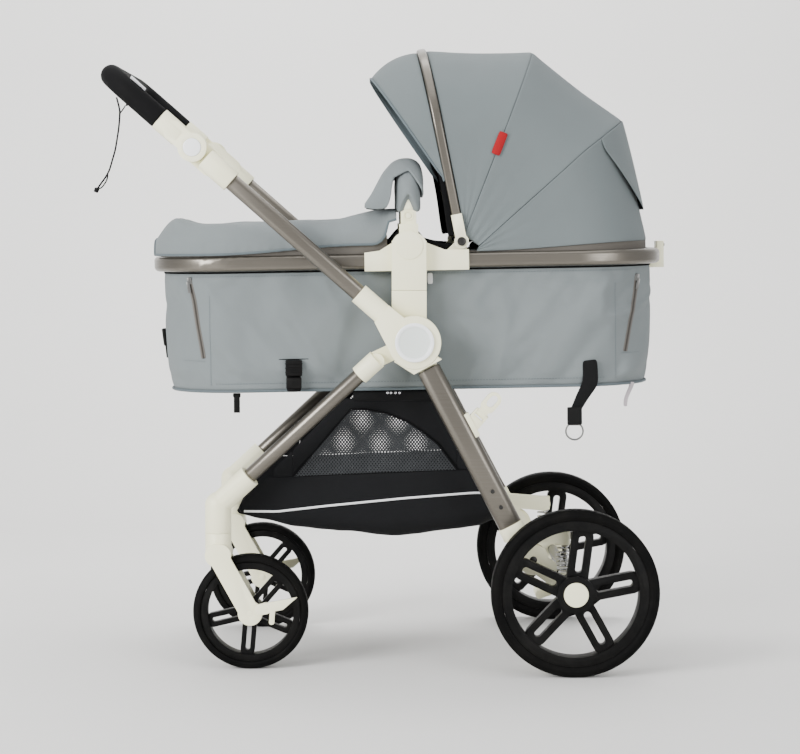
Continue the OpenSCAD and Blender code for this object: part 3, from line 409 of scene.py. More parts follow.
def make_moulding():
    """The fine spark-eroded grain of moulded plastic, with faint flow marks and rubbed patches."""
    tree, takes, gives = effect(
        "moulded grain",
        [("Place", "Vector", None), ("Colour", "Color", (0.8, 0.78, 0.7, 1)), ("Rubbed", "Color", (0.9, 0.9, 0.88, 1)),
         ("Grain", "Float", 1400.0), ("Gloss", "Float", 0.4)],
        [("Colour", "Color"), ("Height", "Float"), ("Roughness", "Float")])
    grain = put(tree, "TexNoise", {"Vector": takes["Place"], "Scale": takes["Grain"], "Detail": 2.0}).outputs["Fac"]
    flow = put(tree, "TexNoise", {"Vector": takes["Place"], "Scale": 9.0, "Detail": 5.0,
                                  "Distortion": 0.6}).outputs["Fac"]
    rub = put(tree, "MapRange", {"Value": flow, "From Min": 0.5, "From Max": 0.78, "To Max": 0.5}).outputs[0]
    tree.links.new(blend_colours(tree, rub, takes["Colour"], takes["Rubbed"]), gives["Colour"])
    tree.links.new(grain, gives["Height"])
    tree.links.new(reckon(tree, "ADD", takes["Gloss"], reckon(tree, "MULTIPLY", flow, 0.18)), gives["Roughness"])
    return tree


def make_brushing():
    """Lines drawn along a tube, under a clear anodised skin."""
    tree, takes, gives = effect(
        "drawn tube",
        [("Place", "Vector", None), ("Colour", "Color", (0.4, 0.38, 0.34, 1)), ("Deep", "Color", (0.3, 0.28, 0.25, 1)),
         ("Gloss", "Float", 0.3)],
        [("Colour", "Color"), ("Height", "Float"), ("Roughness", "Float")])
    lines = put(tree, "TexNoise", {"Vector": takes["Place"], "Scale": 1.0, "Detail": 3.0}).outputs["Fac"]
    tree.links.new(blend_colours(tree, lines, takes["Colour"], takes["Deep"]), gives["Colour"])
    tree.links.new(lines, gives["Height"])
    tree.links.new(reckon(tree, "ADD", takes["Gloss"], reckon(tree, "MULTIPLY", lines, 0.14)), gives["Roughness"])
    return tree


def make_dust():
    """Pale dust that gathers in patches, as a share from 0 to 1."""
    tree, takes, gives = effect(
        "dust", [("Place", "Vector", None), ("Amount", "Float", 0.3)], [("Share", "Float")])
    patches = put(tree, "TexNoise", {"Vector": takes["Place"], "Scale": 22.0, "Detail": 8.0,
                                     "Roughness": 0.7}).outputs["Fac"]
    ranged = put(tree, "MapRange", {"Value": patches, "From Min": 0.42, "From Max": 0.75}).outputs[0]
    tree.links.new(reckon(tree, "MULTIPLY", ranged, takes["Amount"]), gives["Share"])
    return tree


WEAVE = make_weave()
MOULDING = make_moulding()
BRUSHING = make_brushing()
DUST = make_dust()


def colour(red, green, blue):
    """A colour as a paint chart gives it, from 0 to 255, made linear."""
    return tuple((c / 255 / 12.92) if c <= 10 else ((c / 255 + 0.055) / 1.055) ** 2.4
                 for c in (red, green, blue)) + (1.0,)


def new_material(name, metallic=0.0, **sockets):
    material = bpy.data.materials.new(name)
    material.use_nodes = True
    tree = material.node_tree
    surface = tree.nodes["Principled BSDF"]
    surface.inputs["Metallic"].default_value = metallic
    for label, value in sockets.items():
        surface.inputs[label.replace("_", " ")].default_value = value
    return material, tree, surface


def use_effect(tree, group, feeds):
    node = tree.nodes.new("ShaderNodeGroup")
    node.node_tree = group
    for label, value in feeds.items():
        if isinstance(value, bpy.types.NodeSocket):
            tree.links.new(value, node.inputs[label])
        else:
            node.inputs[label].default_value = value
    return node.outputs


def raise_surface(tree, surface, height, depth, strength=0.5):
    bump = put(tree, "Bump", {"Height": height, "Strength": strength, "Distance": depth})
    tree.links.new(bump.outputs[0], surface.inputs["Normal"])


def cloth_material(name, tint, pitch=0.0008, uneven=0.1, sheen=0.06, depth=0.00012, coarse=0.0, mirror=0.25):
    material, tree, surface = new_material(name, Sheen_Weight=sheen, Sheen_Roughness=0.5,
                                           Specular_IOR_Level=mirror)
    place = put(tree, "UVMap", uv_map="cloth").outputs[0]
    threads = use_effect(tree, WEAVE, {"Place": place, "Pitch": pitch, "Colour": tint, "Unevenness": uneven})
    height = threads["Height"]
    if coarse:
        creases = put(tree, "TexNoise", {"Vector": put(tree, "TexCoord").outputs["Object"], "Scale": 45.0,
                                         "Detail": 3.0, "Distortion": 0.8}).outputs["Fac"]
        height = reckon(tree, "ADD", height, reckon(tree, "MULTIPLY", creases, coarse))
    tree.links.new(threads["Colour"], surface.inputs["Base Color"])
    tree.links.new(threads["Roughness"], surface.inputs["Roughness"])
    raise_surface(tree, surface, height, depth, 0.6)
    return material


def plastic_material(name, tint, rubbed, gloss=0.4, grain=1400.0, depth=0.00004, dusty=0.0, coat=0.0,
                     mirror=0.5):
    material, tree, surface = new_material(name, Coat_Weight=coat, Coat_Roughness=0.12, Specular_IOR_Level=mirror)
    place = put(tree, "TexCoord").outputs["Object"]
    skin = use_effect(tree, MOULDING, {"Place": place, "Colour": tint, "Rubbed": rubbed, "Grain": grain,
                                       "Gloss": gloss})
    shown = skin["Colour"]
    if dusty:
        share = use_effect(tree, DUST, {"Place": place, "Amount": dusty})["Share"]
        shown = blend_colours(tree, share, shown, colour(150, 145, 136))
    tree.links.new(shown, surface.inputs["Base Color"])
    tree.links.new(skin["Roughness"], surface.inputs["Roughness"])
    raise_surface(tree, surface, skin["Height"], depth)
    return material


def tube_material(name, tint, deep, turn=(0, 0, 0), gloss=0.26, stretch=(2.0, 700.0, 700.0)):
    """Anodised aluminium with its lines along the tube, whose direction is X after turn."""
    material, tree, surface = new_material(name, metallic=0.82, Coat_Weight=0.25, Coat_Roughness=0.2)
    place = put(tree, "TexCoord").outputs["Object"]
    turned = put(tree, "Mapping", {"Vector": place, "Rotation": turn, "Scale": stretch}).outputs[0]
    skin = use_effect(tree, BRUSHING, {"Place": turned, "Colour": tint, "Deep": deep, "Gloss": gloss})
    tree.links.new(skin["Colour"], surface.inputs["Base Color"])
    tree.links.new(skin["Roughness"], surface.inputs["Roughness"])
    raise_surface(tree, surface, skin["Height"], 0.00003, 0.3)
    return material


def rubber_material(name, centre):
    """Tyre rubber with fine moulded rings round its own axle and road dust."""
    material, tree, surface = new_material(name, Specular_IOR_Level=0.06)
    place = put(tree, "TexCoord").outputs["Object"]
    centred = put(tree, "Mapping", {"Vector": place, "Location": (-centre.x, 0, -centre.z)}).outputs[0]
    split = put(tree, "SeparateXYZ", {"Vector": centred})
    radius = reckon(tree, "SQRT", reckon(
        tree, "ADD", reckon(tree, "MULTIPLY", split.outputs[0], split.outputs[0]),
        reckon(tree, "MULTIPLY", split.outputs[2], split.outputs[2])))
    rings = reckon(tree, "SINE", reckon(tree, "MULTIPLY", radius, math.tau / 0.0042))
    skin = use_effect(tree, MOULDING, {"Place": place, "Colour": colour(7, 7, 7), "Rubbed": colour(12, 12, 11),
                                       "Grain": 900.0, "Gloss": 0.55})
    share = use_effect(tree, DUST, {"Place": place, "Amount": 0.02})["Share"]
    tree.links.new(blend_colours(tree, share, skin["Colour"], colour(120, 114, 104)), surface.inputs["Base Color"])
    tree.links.new(skin["Roughness"], surface.inputs["Roughness"])
    height = reckon(tree, "ADD", reckon(tree, "MULTIPLY", rings, 0.5), skin["Height"])
    raise_surface(tree, surface, height, 0.00025, 0.5)
    return material


def foam_material(name):
    material, tree, surface = new_material(name, Specular_IOR_Level=0.1)
    place = put(tree, "TexCoord").outputs["Object"]
    cells = put(tree, "TexVoronoi", {"Vector": place, "Scale": 900.0}).outputs["Distance"]
    worn = put(tree, "TexNoise", {"Vector": place, "Scale": 30.0, "Detail": 4.0}).outputs["Fac"]
    tree.links.new(blend_colours(tree, worn, colour(12, 12, 12), colour(18, 18, 19)), surface.inputs["Base Color"])
    tree.links.new(reckon(tree, "ADD", 0.68, reckon(tree, "MULTIPLY", worn, 0.2)), surface.inputs["Roughness"])
    raise_surface(tree, surface, cells, 0.0002, 0.5)
    return material


def net_material(name):
    """Knitted net with open diamond cells between two crossing sets of threads."""
    material, tree, surface = new_material(name, Sheen_Weight=0.05, Specular_IOR_Level=0.2)
    place = put(tree, "TexCoord").outputs["Object"]
    split = put(tree, "SeparateXYZ", {"Vector": place})
    cells = math.pi / 0.0054
    threads = []
    for joined in ("ADD", "SUBTRACT"):
        way = reckon(tree, joined, split.outputs[0], reckon(tree, "MULTIPLY", split.outputs[2], 0.8))
        wave = reckon(tree, "ABSOLUTE", reckon(tree, "SINE", reckon(tree, "MULTIPLY", way, cells)))
        threads.append(put(tree, "MapRange", {"Value": wave, "From Min": 0.66, "From Max": 0.80, "To Min": 1.0,
                                              "To Max": 0.0}).outputs[0])
    solid = reckon(tree, "MAXIMUM", *threads)
    patches = put(tree, "TexNoise", {"Vector": place, "Scale": 60.0, "Detail": 3.0}).outputs["Fac"]
    tree.links.new(blend_colours(tree, patches, colour(50, 52, 54), colour(34, 36, 38)), surface.inputs["Base Color"])
    tree.links.new(reckon(tree, "ADD", 0.6, reckon(tree, "MULTIPLY", patches, 0.2)), surface.inputs["Roughness"])
    tree.links.new(solid, surface.inputs["Alpha"])
    raise_surface(tree, surface, solid, 0.0002, 0.4)
    return material


def webbing_material(name, tint):
    """Ribbed webbing: a coarse diagonal rib across the band."""
    return cloth_material(name, tint, pitch=0.0022, uneven=0.2, sheen=0.02, depth=0.0004, mirror=0.15)


GREY = colour(106, 114, 115)
grey_cloth = cloth_material("grey_canopy_cloth", GREY, coarse=0.5)
cot_cloth = cloth_material("grey_carrycot_cloth", colour(119, 126, 127), uneven=0.14, coarse=1.2)
grey_piping = cloth_material("grey_piping", colour(92, 102, 106), pitch=0.0012)
black_cloth = cloth_material("black_basket_cloth", colour(8, 8, 9), uneven=0.3, sheen=0.0, coarse=1.6, mirror=0.16)
# black lining cloth; on the strips under the rail, behind the joint blocks and in the buckle's slot it is painted shade
black_lining_and_shade = cloth_material("black_lining_and_shade", colour(9, 9, 10), sheen=0.0, mirror=0.1)
# brown-grey cloth whose colour is painted shade and reflection, for the bands in the gaps under the hems
gap_shade_cloth = cloth_material("brown_grey_gap_shade", colour(92, 88, 82), pitch=0.0012)
cot_liner = cloth_material("pale_liner", colour(206, 208, 207), pitch=0.0016, coarse=0.8)
net = net_material("basket_net")
webbing = webbing_material("black_webbing", colour(11, 11, 11))
webbing_flat = plastic_material("black_webbing_flat", colour(11, 11, 11), colour(20, 20, 20), gloss=0.7, grain=700.0,
                                depth=0.0002, mirror=0.2)
zip_brown = cloth_material("zip_teeth", colour(66, 62, 57), pitch=0.0016, depth=0.0005)
zip_tape = cloth_material("zip_tape_cloth", colour(104, 100, 95), pitch=0.0010)
mauve_tape = cloth_material("care_tape_cloth", colour(176, 168, 172), pitch=0.0010, uneven=0.06)
red_tab = cloth_material("red_tab_cloth", colour(150, 4, 16), pitch=0.0012, uneven=0.15)
white_tape = cloth_material("white_tape", colour(226, 227, 228), pitch=0.0012, uneven=0.06)
cream = plastic_material("cream_plastic", colour(246, 243, 208), colour(248, 246, 222), gloss=0.34)
gloss_white = plastic_material("white_gloss", colour(250, 252, 253), colour(252, 253, 253), gloss=0.12,
                               depth=0.00001, coat=0.6)
cap_face = plastic_material("cap_face", colour(224, 231, 226), colour(230, 235, 230), gloss=0.1,
                            depth=0.00001, coat=0.8)
black_hard = plastic_material("black_plastic", colour(7, 7, 7), colour(12, 12, 12), gloss=0.42,
                              grain=900.0, dusty=0.02, mirror=0.12)
rim_black = plastic_material("wheel_black", colour(7, 7, 7), colour(12, 12, 11), gloss=0.36, grain=800.0,
                             dusty=0.02, mirror=0.10)
steel = tube_material("bright_steel", colour(214, 214, 214), colour(170, 170, 172), gloss=0.14,
                      stretch=(400, 400, 400))
dark_steel = tube_material("axle_steel", colour(120, 120, 118), colour(90, 90, 88), gloss=0.3,
                           stretch=(400, 4, 400))
CHAMPAGNE, DEEP = colour(116, 111, 102), colour(100, 95, 87)
ring_metal = tube_material("champagne_ring", CHAMPAGNE, DEEP, stretch=(3, 60, 900))
rear_leg_metal = tube_material("champagne_rear_leg", CHAMPAGNE, DEEP, turn=(0, REAR_LEG_TURN, 0))
arm_metal = tube_material("champagne_arm", CHAMPAGNE, DEEP, turn=(0, math.atan2(TILT.z - HUB.z, TILT.x - HUB.x), 0))
front_leg_metal = tube_material("champagne_front_leg", CHAMPAGNE, DEEP, turn=(0, math.radians(FRONT_LEG_ANGLE), 0))
bow_metal = tube_material("champagne_bow", CHAMPAGNE, DEEP, turn=(0, math.radians(101.4), 0))
rear_rubber = rubber_material("rear_tyre_rubber", REAR_AXLE)
front_rubber = rubber_material("front_tyre_rubber", FRONT_AXLE)
foam = foam_material("grip_foam")
screw_steel = tube_material("dark_screw_steel", colour(58, 57, 55), colour(40, 39, 38), gloss=0.3,
                            stretch=(500, 500, 500))


# ---- Camera, light and ground ---------------------------------------------------

CAMERA_PLACE = (-0.017, -4.079, 0.7646)
CAMERA_TILT, CAMERA_TURN = 3.99, -0.5
SENSOR_WIDTH, LENS_LENGTH = 36, 104


def set_camera():
    lens = bpy.data.cameras.new("camera")
    lens.sensor_width = SENSOR_WIDTH
    lens.lens = LENS_LENGTH
    camera = bpy.data.objects.new("camera", lens)
    scene.collection.objects.link(camera)
    camera.location = CAMERA_PLACE
    camera.rotation_euler = Euler((math.radians(90 - CAMERA_TILT), 0, math.radians(CAMERA_TURN)))
    scene.camera = camera


def set_light():
    world = bpy.data.worlds.new("studio")
    world.use_nodes = True
    glow = world.node_tree.nodes["Background"].inputs
    glow["Color"].default_value = (0.96, 0.97, 1.0, 1)
    glow["Strength"].default_value = 0.68
    scene.world = world
    for name, place, aim, size, power in (
            ("front_left", (-3.0, -3.0, 2.0), (0, 0, 0.6), 2.0, 270),
            ("front_right", (2.6, -3.6, 1.3), (0, 0, 0.5), 2.4, 95),
            ("top_panel", (0.2, -0.4, 3.2), (0, 0, 0.4), 2.6, 40),
            ("backdrop_wash", (0, 1.0, 3.2), (0, 2.8, 1.6), 2.2, 110)):
        light = bpy.data.lights.new(name, "AREA")
        light.shape = "SQUARE"
        light.size = size
        light.energy = power
        lamp = bpy.data.objects.new(name, light)
        scene.collection.objects.link(lamp)
        lamp.location = place
        lamp.rotation_euler = (Vector(aim) - Vector(place)).to_track_quat("-Z", "Y").to_euler()


def make_ground():
    """A pale paper sweep: flat floor, a round turn and a wall."""
    reach, turn_start, turn, height = 6.0, 1.6, 1.2, 5.0
    profile = [(-reach, 0.0), (turn_start, 0.0)]
    profile += [(turn_start + turn * math.sin(math.radians(a)), turn - turn * math.cos(math.radians(a)))
                for a in range(6, 91, 6)]
    profile.append((2.8, height))
    rows = [[Vector((x, y, z)) for x in (-reach, -2, 2, reach)] for y, z in profile]
    sweep = cloth("ground_sweep", rows)
    shade_smooth(sweep)
    material, tree, surface = new_material("pale_paper")
    place = put(tree, "TexCoord").outputs["Object"]
    marks = put(tree, "TexNoise", {"Vector": place, "Scale": 1.6, "Detail": 6.0}).outputs["Fac"]
    tree.links.new(blend_colours(tree, marks, colour(229, 228, 226), colour(221, 220, 217)),
                   surface.inputs["Base Color"])
    tree.links.new(reckon(tree, "ADD", 0.6, reckon(tree, "MULTIPLY", marks, 0.2)), surface.inputs["Roughness"])
    sweep.data.materials.append(material)


set_camera()


# ---- Wrist strap: the one cord ---------------------------------------------------

STRAP_Y = -0.234
GRIP_REACH = 0.128
STRAP_KNOTS = [(-0.4519, 0.9600), (-0.4480, 0.9450), (-0.4466, 0.9330), (-0.4486, 0.9095), (-0.4512, 0.8930),
               (-0.4546, 0.8740), (-0.4592, 0.8580), (-0.4640, 0.8420), (-0.4700, 0.8300), (-0.4790, 0.8175),
               (-0.4862, 0.8070)]


def rounded_route(knots, steps=4):
    """Points along a smooth line through the knots."""
    route = []
    for k in range(len(knots) - 1):
        before, a, b, after = knots[max(0, k - 1)], knots[k], knots[k + 1], knots[min(len(knots) - 1, k + 2)]
        for n in range(steps):
            t = n / steps
            route.append(tuple(0.5 * (2 * q + (r - p) * t + (2 * p - 5 * q + 4 * r - w) * t * t +
                                      (3 * q - p - 3 * r + w) * t ** 3)
                               for p, q, r, w in zip(before, a, b, after)))
    return route + [tuple(knots[-1])]


def make_wrist_strap():
    """A thin cord from the grip, joined by a second short one, with an eye and a knot at its end."""
    route = [(x, STRAP_Y, z) for x, z in rounded_route(STRAP_KNOTS)]
    strap = add_uv(tube("wrist_strap_cord", route, 0.0015, 12))
    second = tube("wrist_strap_second_cord",
                  [(x, STRAP_Y + 0.0008, z) for x, z in rounded_route([(-0.4372, 0.9465), (-0.4415, 0.9400),
                                                                      (-0.4464, 0.9335)])], 0.0012, 10)
    eye = tube("wrist_strap_eye", [(x, STRAP_Y - 0.0006, z) for x, z in rounded_route(
        [(-0.4670, 0.8350), (-0.4690, 0.8240), (-0.4770, 0.8120), (-0.4850, 0.8085)])], 0.0013, 10)
    bpy.ops.mesh.primitive_uv_sphere_add(segments=20, ring_count=12, radius=0.0042, location=route[-1])
    knot = start_piece("wrist_strap_knot")
    for vertex in knot.data.vertices:
        way = vertex.co - Vector(route[-1])
        vertex.co = Vector(route[-1]) + way * (1 + 0.16 * math.sin(4 * math.atan2(way.z, way.x) + 900 * way.y))
    shade_smooth(knot)
    finish(strap, "handle", "black_fabric", webbing)
    for piece in (second, eye, knot):
        finish(piece, "handle", "black_fabric", webbing_flat)
    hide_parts("wrist_strap")
    # loop round the grip, and the paper tab on it
    grip_centre = Vector((TILT.x - GRIP_REACH * math.cos(math.radians(180 - ARM_ANGLE)), STRAP_Y,
                          TILT.z + GRIP_REACH * math.sin(math.radians(ARM_ANGLE))))
    bpy.ops.mesh.primitive_torus_add(location=grip_centre, major_radius=0.0196, minor_radius=0.0014,
                                     major_segments=48, minor_segments=8,
                                     rotation=(0, math.radians(90 - ARM_ANGLE), 0))
    loop = start_piece("wrist_strap_loop")
    shade_smooth(loop)
    finish(loop, "handle", "black_fabric", webbing_flat)
    tab = block("grip_tab", (0.032, 0.0012, 0.013), (grip_centre.x + 0.006, STRAP_Y - 0.007, grip_centre.z + 0.0195),
                turn=(math.radians(52), math.radians(42), 0), edge=0.0004)
    finish(tab, "handle", "white_button", white_tape)


make_wrist_strap()


# ---- Rigid pieces: the model's own shapes with softened edges -----------------------

def soften(node, width, slot_name, material):
    """A copy of a rigid piece with its facets merged and its edges rounded, in that piece's place."""
    piece = bpy.data.objects.new(node + "_shaped", frame["nodes"][node].data.copy())
    scene.collection.objects.link(piece)
    with whole_mesh(piece):
        bpy.ops.mesh.remove_doubles(threshold=1e-6)
        bpy.ops.mesh.dissolve_limited(angle_limit=math.radians(1.0))
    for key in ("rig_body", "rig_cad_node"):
        if key in piece:
            del piece[key]
    round_edges(piece, width, 2)
    finish(piece, NODE_BODY[node], slot_name, material)
    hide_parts(node)
    return piece


NODE_BODY = {node: body for body, nodes in frame["record"]["behaviour"]["bodies"].items() for node in nodes}
CREAM, RIM = ("cream_plastic", cream), ("black_plastic", rim_black)
SCREW, WHITE = ("axle_steel", screw_steel), ("white_button", gloss_white)
RIGID = (
    # node, with * for left and right; edge radius; slot and material
    ("hub_cores", 0.0016, CREAM),
    ("rear_legs", 0.0006, ("champagne_tube", rear_leg_metal)),
    ("rear_brackets", 0.0014, CREAM),
    ("rear_crossbar", 0.0008, ("champagne_tube", dark_steel)),
    ("chassis_screws", 0.0005, SCREW),
    ("latch_base", 0.0010, CREAM),
    ("fold_latch", 0.0014, CREAM),
    ("front_legs", 0.0006, ("champagne_tube", front_leg_metal)),
    ("front_brackets", 0.0015, CREAM),
    ("elbows", 0.0012, CREAM),
    ("front_crossbar", 0.0008, ("black_plastic", black_hard)),
    ("fork_*", 0.0022, CREAM),
    ("front_rim_*", 0.0018, RIM),
    ("rear_rim_*", 0.0024, RIM),
    ("front_tyre_*", 0.0012, ("tyre", front_rubber)),
    ("rear_tyre_*", 0.0012, ("tyre", rear_rubber)),
    ("lock_lever_*", 0.0012, CREAM),
    ("rear_arms", 0.0016, CREAM),
    ("rear_axle", 0.0006, ("axle_steel", dark_steel)),
    ("rear_caps", 0.0006, CREAM),
    ("brake_pedal", 0.0012, CREAM),
    ("arm_housings", 0.0024, CREAM),
    ("arm_tubes", 0.0006, ("champagne_tube", arm_metal)),
    ("hub_caps", 0.0006, WHITE),
    ("tilt_bases", 0.0016, CREAM),
    ("tilt_tops", 0.0016, CREAM),
    ("handle_tube", 0.0006, ("champagne_tube", arm_metal)),
    ("handle_grip", 0.0030, ("foam_grip", foam)),
    ("tilt_button_*", 0.0008, WHITE),
    ("adapters", 0.0016, CREAM),
    ("seat_rail", 0.0008, ("champagne_tube", ring_metal)),
    ("rail_joints", 0.0012, CREAM),
    ("seat_screws", 0.0006, SCREW),
    ("bumper_bar", 0.0012, CREAM),
    ("bumper_button_*", 0.0008, CREAM),
    ("canopy_bow", 0.0008, ("champagne_tube", bow_metal)),
    ("canopy_brackets", 0.0010, CREAM),
    ("canopy_rib_mid", 0.0004, ("black_plastic", black_hard)),
    ("canopy_rib_rear", 0.0004, ("black_plastic", black_hard)),
)

shaped = {}
for label, edge_radius, skin in RIGID:
    for node_name in [label.replace("*", side) for side in SIDES] if "*" in label else [label]:
        shaped[node_name] = soften(node_name, edge_radius, *skin)


def face_the_caps():
    """The hub caps have a bright ring round a calmer glossy face."""
    piece = shaped["hub_caps"]
    piece.data.materials.append(cap_face)
    for polygon in piece.data.polygons:
        off = polygon.center - HUB
        if math.hypot(off.x, off.z) < 0.0257:
            polygon.material_index = 1


face_the_caps()


def turned_disc(name, centre, y, radius, depth, edge):
    """A flat round disc that faces sideways, with a rounded rim."""
    bpy.ops.mesh.primitive_cylinder_add(vertices=72, radius=radius, depth=depth, location=(centre.x, y, centre.z),
                                        rotation=(math.pi / 2, 0, 0))
    return round_edges(start_piece(name), edge, 3)


def turned_ring(name, centre, y, radius, thick, flatness):
    """A flattened round ring that faces sideways."""
    bpy.ops.mesh.primitive_torus_add(location=(centre.x, y, centre.z), major_radius=radius, minor_radius=thick,
                                     major_segments=96, minor_segments=16, rotation=(math.pi / 2, 0, 0))
    bpy.context.active_object.scale = (1, 1, flatness)
    ring = start_piece(name)
    return shade_smooth(ring)


def make_joint_trims():
    """White rings on the hub caps, raised discs on the seat joints, frames round the bumper's buttons."""
    caps_high, adapters_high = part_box("hub_caps")[1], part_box("adapters")[1]
    post_low, post_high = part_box("bumper_button_left")
    for side, sign in SIDES.items():
        ring = turned_ring(f"hub_ring_{side}", HUB, sign * (caps_high.y - 0.0004), 0.0298, 0.0028, 0.4)
        finish(ring, "push_arms", "white_button", gloss_white)
        disc = turned_disc(f"seat_joint_disc_{side}", SEAT, sign * (adapters_high.y + 0.0004), 0.0228, 0.0026, 0.0005)
        finish(disc, "seat_adapter", "cream_plastic", cream)
        centre = Vector(((post_low.x + post_high.x) / 2, 0, (post_low.z + post_high.z) / 2))
        rim = turned_ring(f"bumper_button_frame_{side}", centre,
                          sign * (max(abs(post_low.y), abs(post_high.y)) - 0.0006),
                          0.0078, 0.0008, 0.8)
        finish(rim, "bumper", "cream_plastic", cream)


make_joint_trims()


# ---- Wheels ------------------------------------------------------------------------

def make_tread(name, centre, side_y, radius, width, lugs, body, material):
    """Small lugs round both shoulders of a tyre, modelled once and turned round the axle."""
    lug_places = []
    for shoulder in (-1, 1):
        bpy.ops.mesh.primitive_cube_add(size=1, location=(
            centre.x, side_y + shoulder * (width / 2 - 0.0064), centre.z + radius - 0.0042))
        lug = bpy.context.active_object
        lug.scale = (math.tau * radius / lugs * 0.52, 0.0085, 0.0034)
        lug.rotation_euler = (math.radians(-38 * shoulder), 0, 0)
        lug = start_piece(name + "_lug")
        with whole_mesh(lug):
            bpy.ops.mesh.spin(steps=lugs, dupli=True, angle=math.tau, center=(centre.x, side_y, centre.z),
                              axis=(0, 1, 0))
            bpy.ops.mesh.select_all(action="SELECT")
            bpy.ops.mesh.remove_doubles(threshold=1e-5)
        lug_places.append(lug)
    tread = join(name, lug_places)
    finish(tread, body, "tyre", material)


TYRES = (
    # end, axle, distance from the middle, radius, width, lugs, material
    ("rear", REAR_AXLE, 0.279, 0.140, 0.042, 92, rear_rubber),
    ("front", FRONT_AXLE, 0.200, 0.0975, 0.036, 72, front_rubber),
)
for side, sign in SIDES.items():
    for which, axle, track, radius, width, lugs, rubber in TYRES:
        make_tread(f"{which}_tread_{side}", axle, sign * track, radius, width, lugs, f"{which}_wheel_{side}", rubber)


def make_springs():
    """Chrome coil springs of the rear suspension."""
    low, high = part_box("rear_springs")
    wire, coil_r, turns = 0.0016, 0.0095, 6
    for side, sign in SIDES.items():
        centre = Vector(((low.x + high.x) / 2, sign * 0.234, 0))
        path = [(centre.x + coil_r * math.cos(t), centre.y + coil_r * math.sin(t),
                 low.z + wire + (high.z - low.z - 2 * wire) * t / (turns * math.tau))
                for t in [k * math.tau / 24 for k in range(turns * 24 + 1)]]
        spring = tube(f"rear_spring_{side}", path, wire, 12)
        finish(spring, "chassis", "steel_bright", steel)
        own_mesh(spring)
        if side == "left":
            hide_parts("rear_springs")


make_springs()


# ---- Canopy ------------------------------------------------------------------------

CORNER = 0.150
PANEL_HOLLOW = 0.0030
CANOPY_HEART = CANOPY + Vector((0.12, 0, 0.10))
SEAM_STEPS = [0, 0.012, 0.03, 0.07] + [0.07 + 0.86 * k / 10 for k in range(1, 10)] + [0.93, 0.97, 0.988, 1]


def arch_line(half, height, corner, low, side=13, turn=12, top=16):
    """(y, r) along an arch from its near foot over the top to its far foot."""
    points = [(-half, low + (height - corner - low) * (k / side) ** 0.85) for k in range(side)]
    points += [(-half + corner * (1 - math.cos(a)), height - corner + corner * math.sin(a))
               for a in [math.pi / 2 * k / turn for k in range(turn)]]
    run = half - corner
    points += [(-run + 2 * run * k / top, height) for k in range(top)]
    points += [(run + corner * math.sin(a), height - corner + corner * math.cos(a))
               for a in [math.pi / 2 * k / turn for k in range(turn)]]
    points += [(half, low + (height - corner - low) * ((side - k) / side) ** 0.85) for k in range(side + 1)]
    return points


def rib_row(angle, half, height, low, shift=0.0):
    return [canopy_point(angle, r, y, shift) for y, r in arch_line(half, height, CORNER, low)]


def taut_panel(first, second, seed):
    """Cloth pulled tight between two rows, a little hollow, pinched along its seams."""
    rows = []
    for v in SEAM_STEPS:
        row = []
        for a, b in zip(first, second):
            p = a.lerp(b, v)
            inward = (Vector((CANOPY.x + 0.05, p.y * 0.35, CANOPY.z + 0.02)) - p).normalized()
            reach = (p - Vector((CANOPY.x, p.y, CANOPY.z))).length
            hollow = PANEL_HOLLOW * 4 * v * (1 - v) * smooth((reach - 0.03) / 0.16)
            pinch = 0.0014 * (max(0, 1 - v / 0.02) + max(0, 1 - (1 - v) / 0.02))
            folds = 0.0011 * ripple(p, 0.07, seed) * smooth(v / 0.1) * smooth((1 - v) / 0.1)
            tug = 0.0016 * math.sin(v * 21 + seed) * math.exp(-reach / 0.07) * smooth(v / 0.12) * smooth((1 - v) / 0.12)
            row.append(p + inward * (hollow + pinch + folds + tug))
        rows.append(row)
    return rows


RAIL_TOP = -0.013
BOW_ROW = rib_row(BOW_ANGLE, 0.200, 0.332, 0.010, shift=0.0082)
MID_ROW = rib_row(MID_ANGLE, 0.1992, 0.349, 0.010)


def rear_seam():
    """The rear seam follows its rib round the crown, and runs down to the rail behind the pivot."""
    row = []
    for y, r in arch_line(0.1967, 0.351, CORNER, 0.004):
        along = canopy_point(REAR_ANGLE, r, y)
        foot = Vector((CANOPY.x + 0.029, y, CANOPY.z - 0.0087))
        end = canopy_point(REAR_ANGLE, 0.26, y)
        row.append(foot.lerp(end, (r - 0.004) / 0.256) if r < 0.26 else along)
    return row


def canopy_foot():
    """The lower edge of the rear panel, just above the rail."""
    row = []
    for y, x in arch_line(0.1925, 0.3265, 0.136, 0.024):
        row.append(seat_point(x + 0.0881, y, RAIL_TOP + 0.0008 + 0.0125 * smooth((x - 0.03) / 0.29)))
    return row


REAR_ROW = rear_seam()
BASE_ROW = canopy_foot()


def area_of(rows):
    """Area of the sheet through rows of points."""
    total = 0.0
    for a, b in zip(rows, rows[1:]):
        for j in range(len(a) - 1):
            total += (a[j + 1] - a[j]).cross(b[j] - a[j]).length / 2
            total += (b[j + 1] - b[j]).cross(b[j + 1] - a[j + 1]).length / 2
    return total


def sew_on(name, rows, inside, body, finish_slot, material, thickness, offset=-1.0):
    """A narrow sheet sewn flat on its neighbour."""
    piece = cloth(name, rows, inside=inside)
    finish(piece, body, finish_slot, material)
    thicken(piece, thickness, 1, offset=offset)


def make_piping(name, path, radius, sides, body, finish_slot, material, around=False):
    """A cord of cloth sewn along an edge."""
    return finish(add_uv(tube(name, path, radius, sides, around)), body, finish_slot, material)


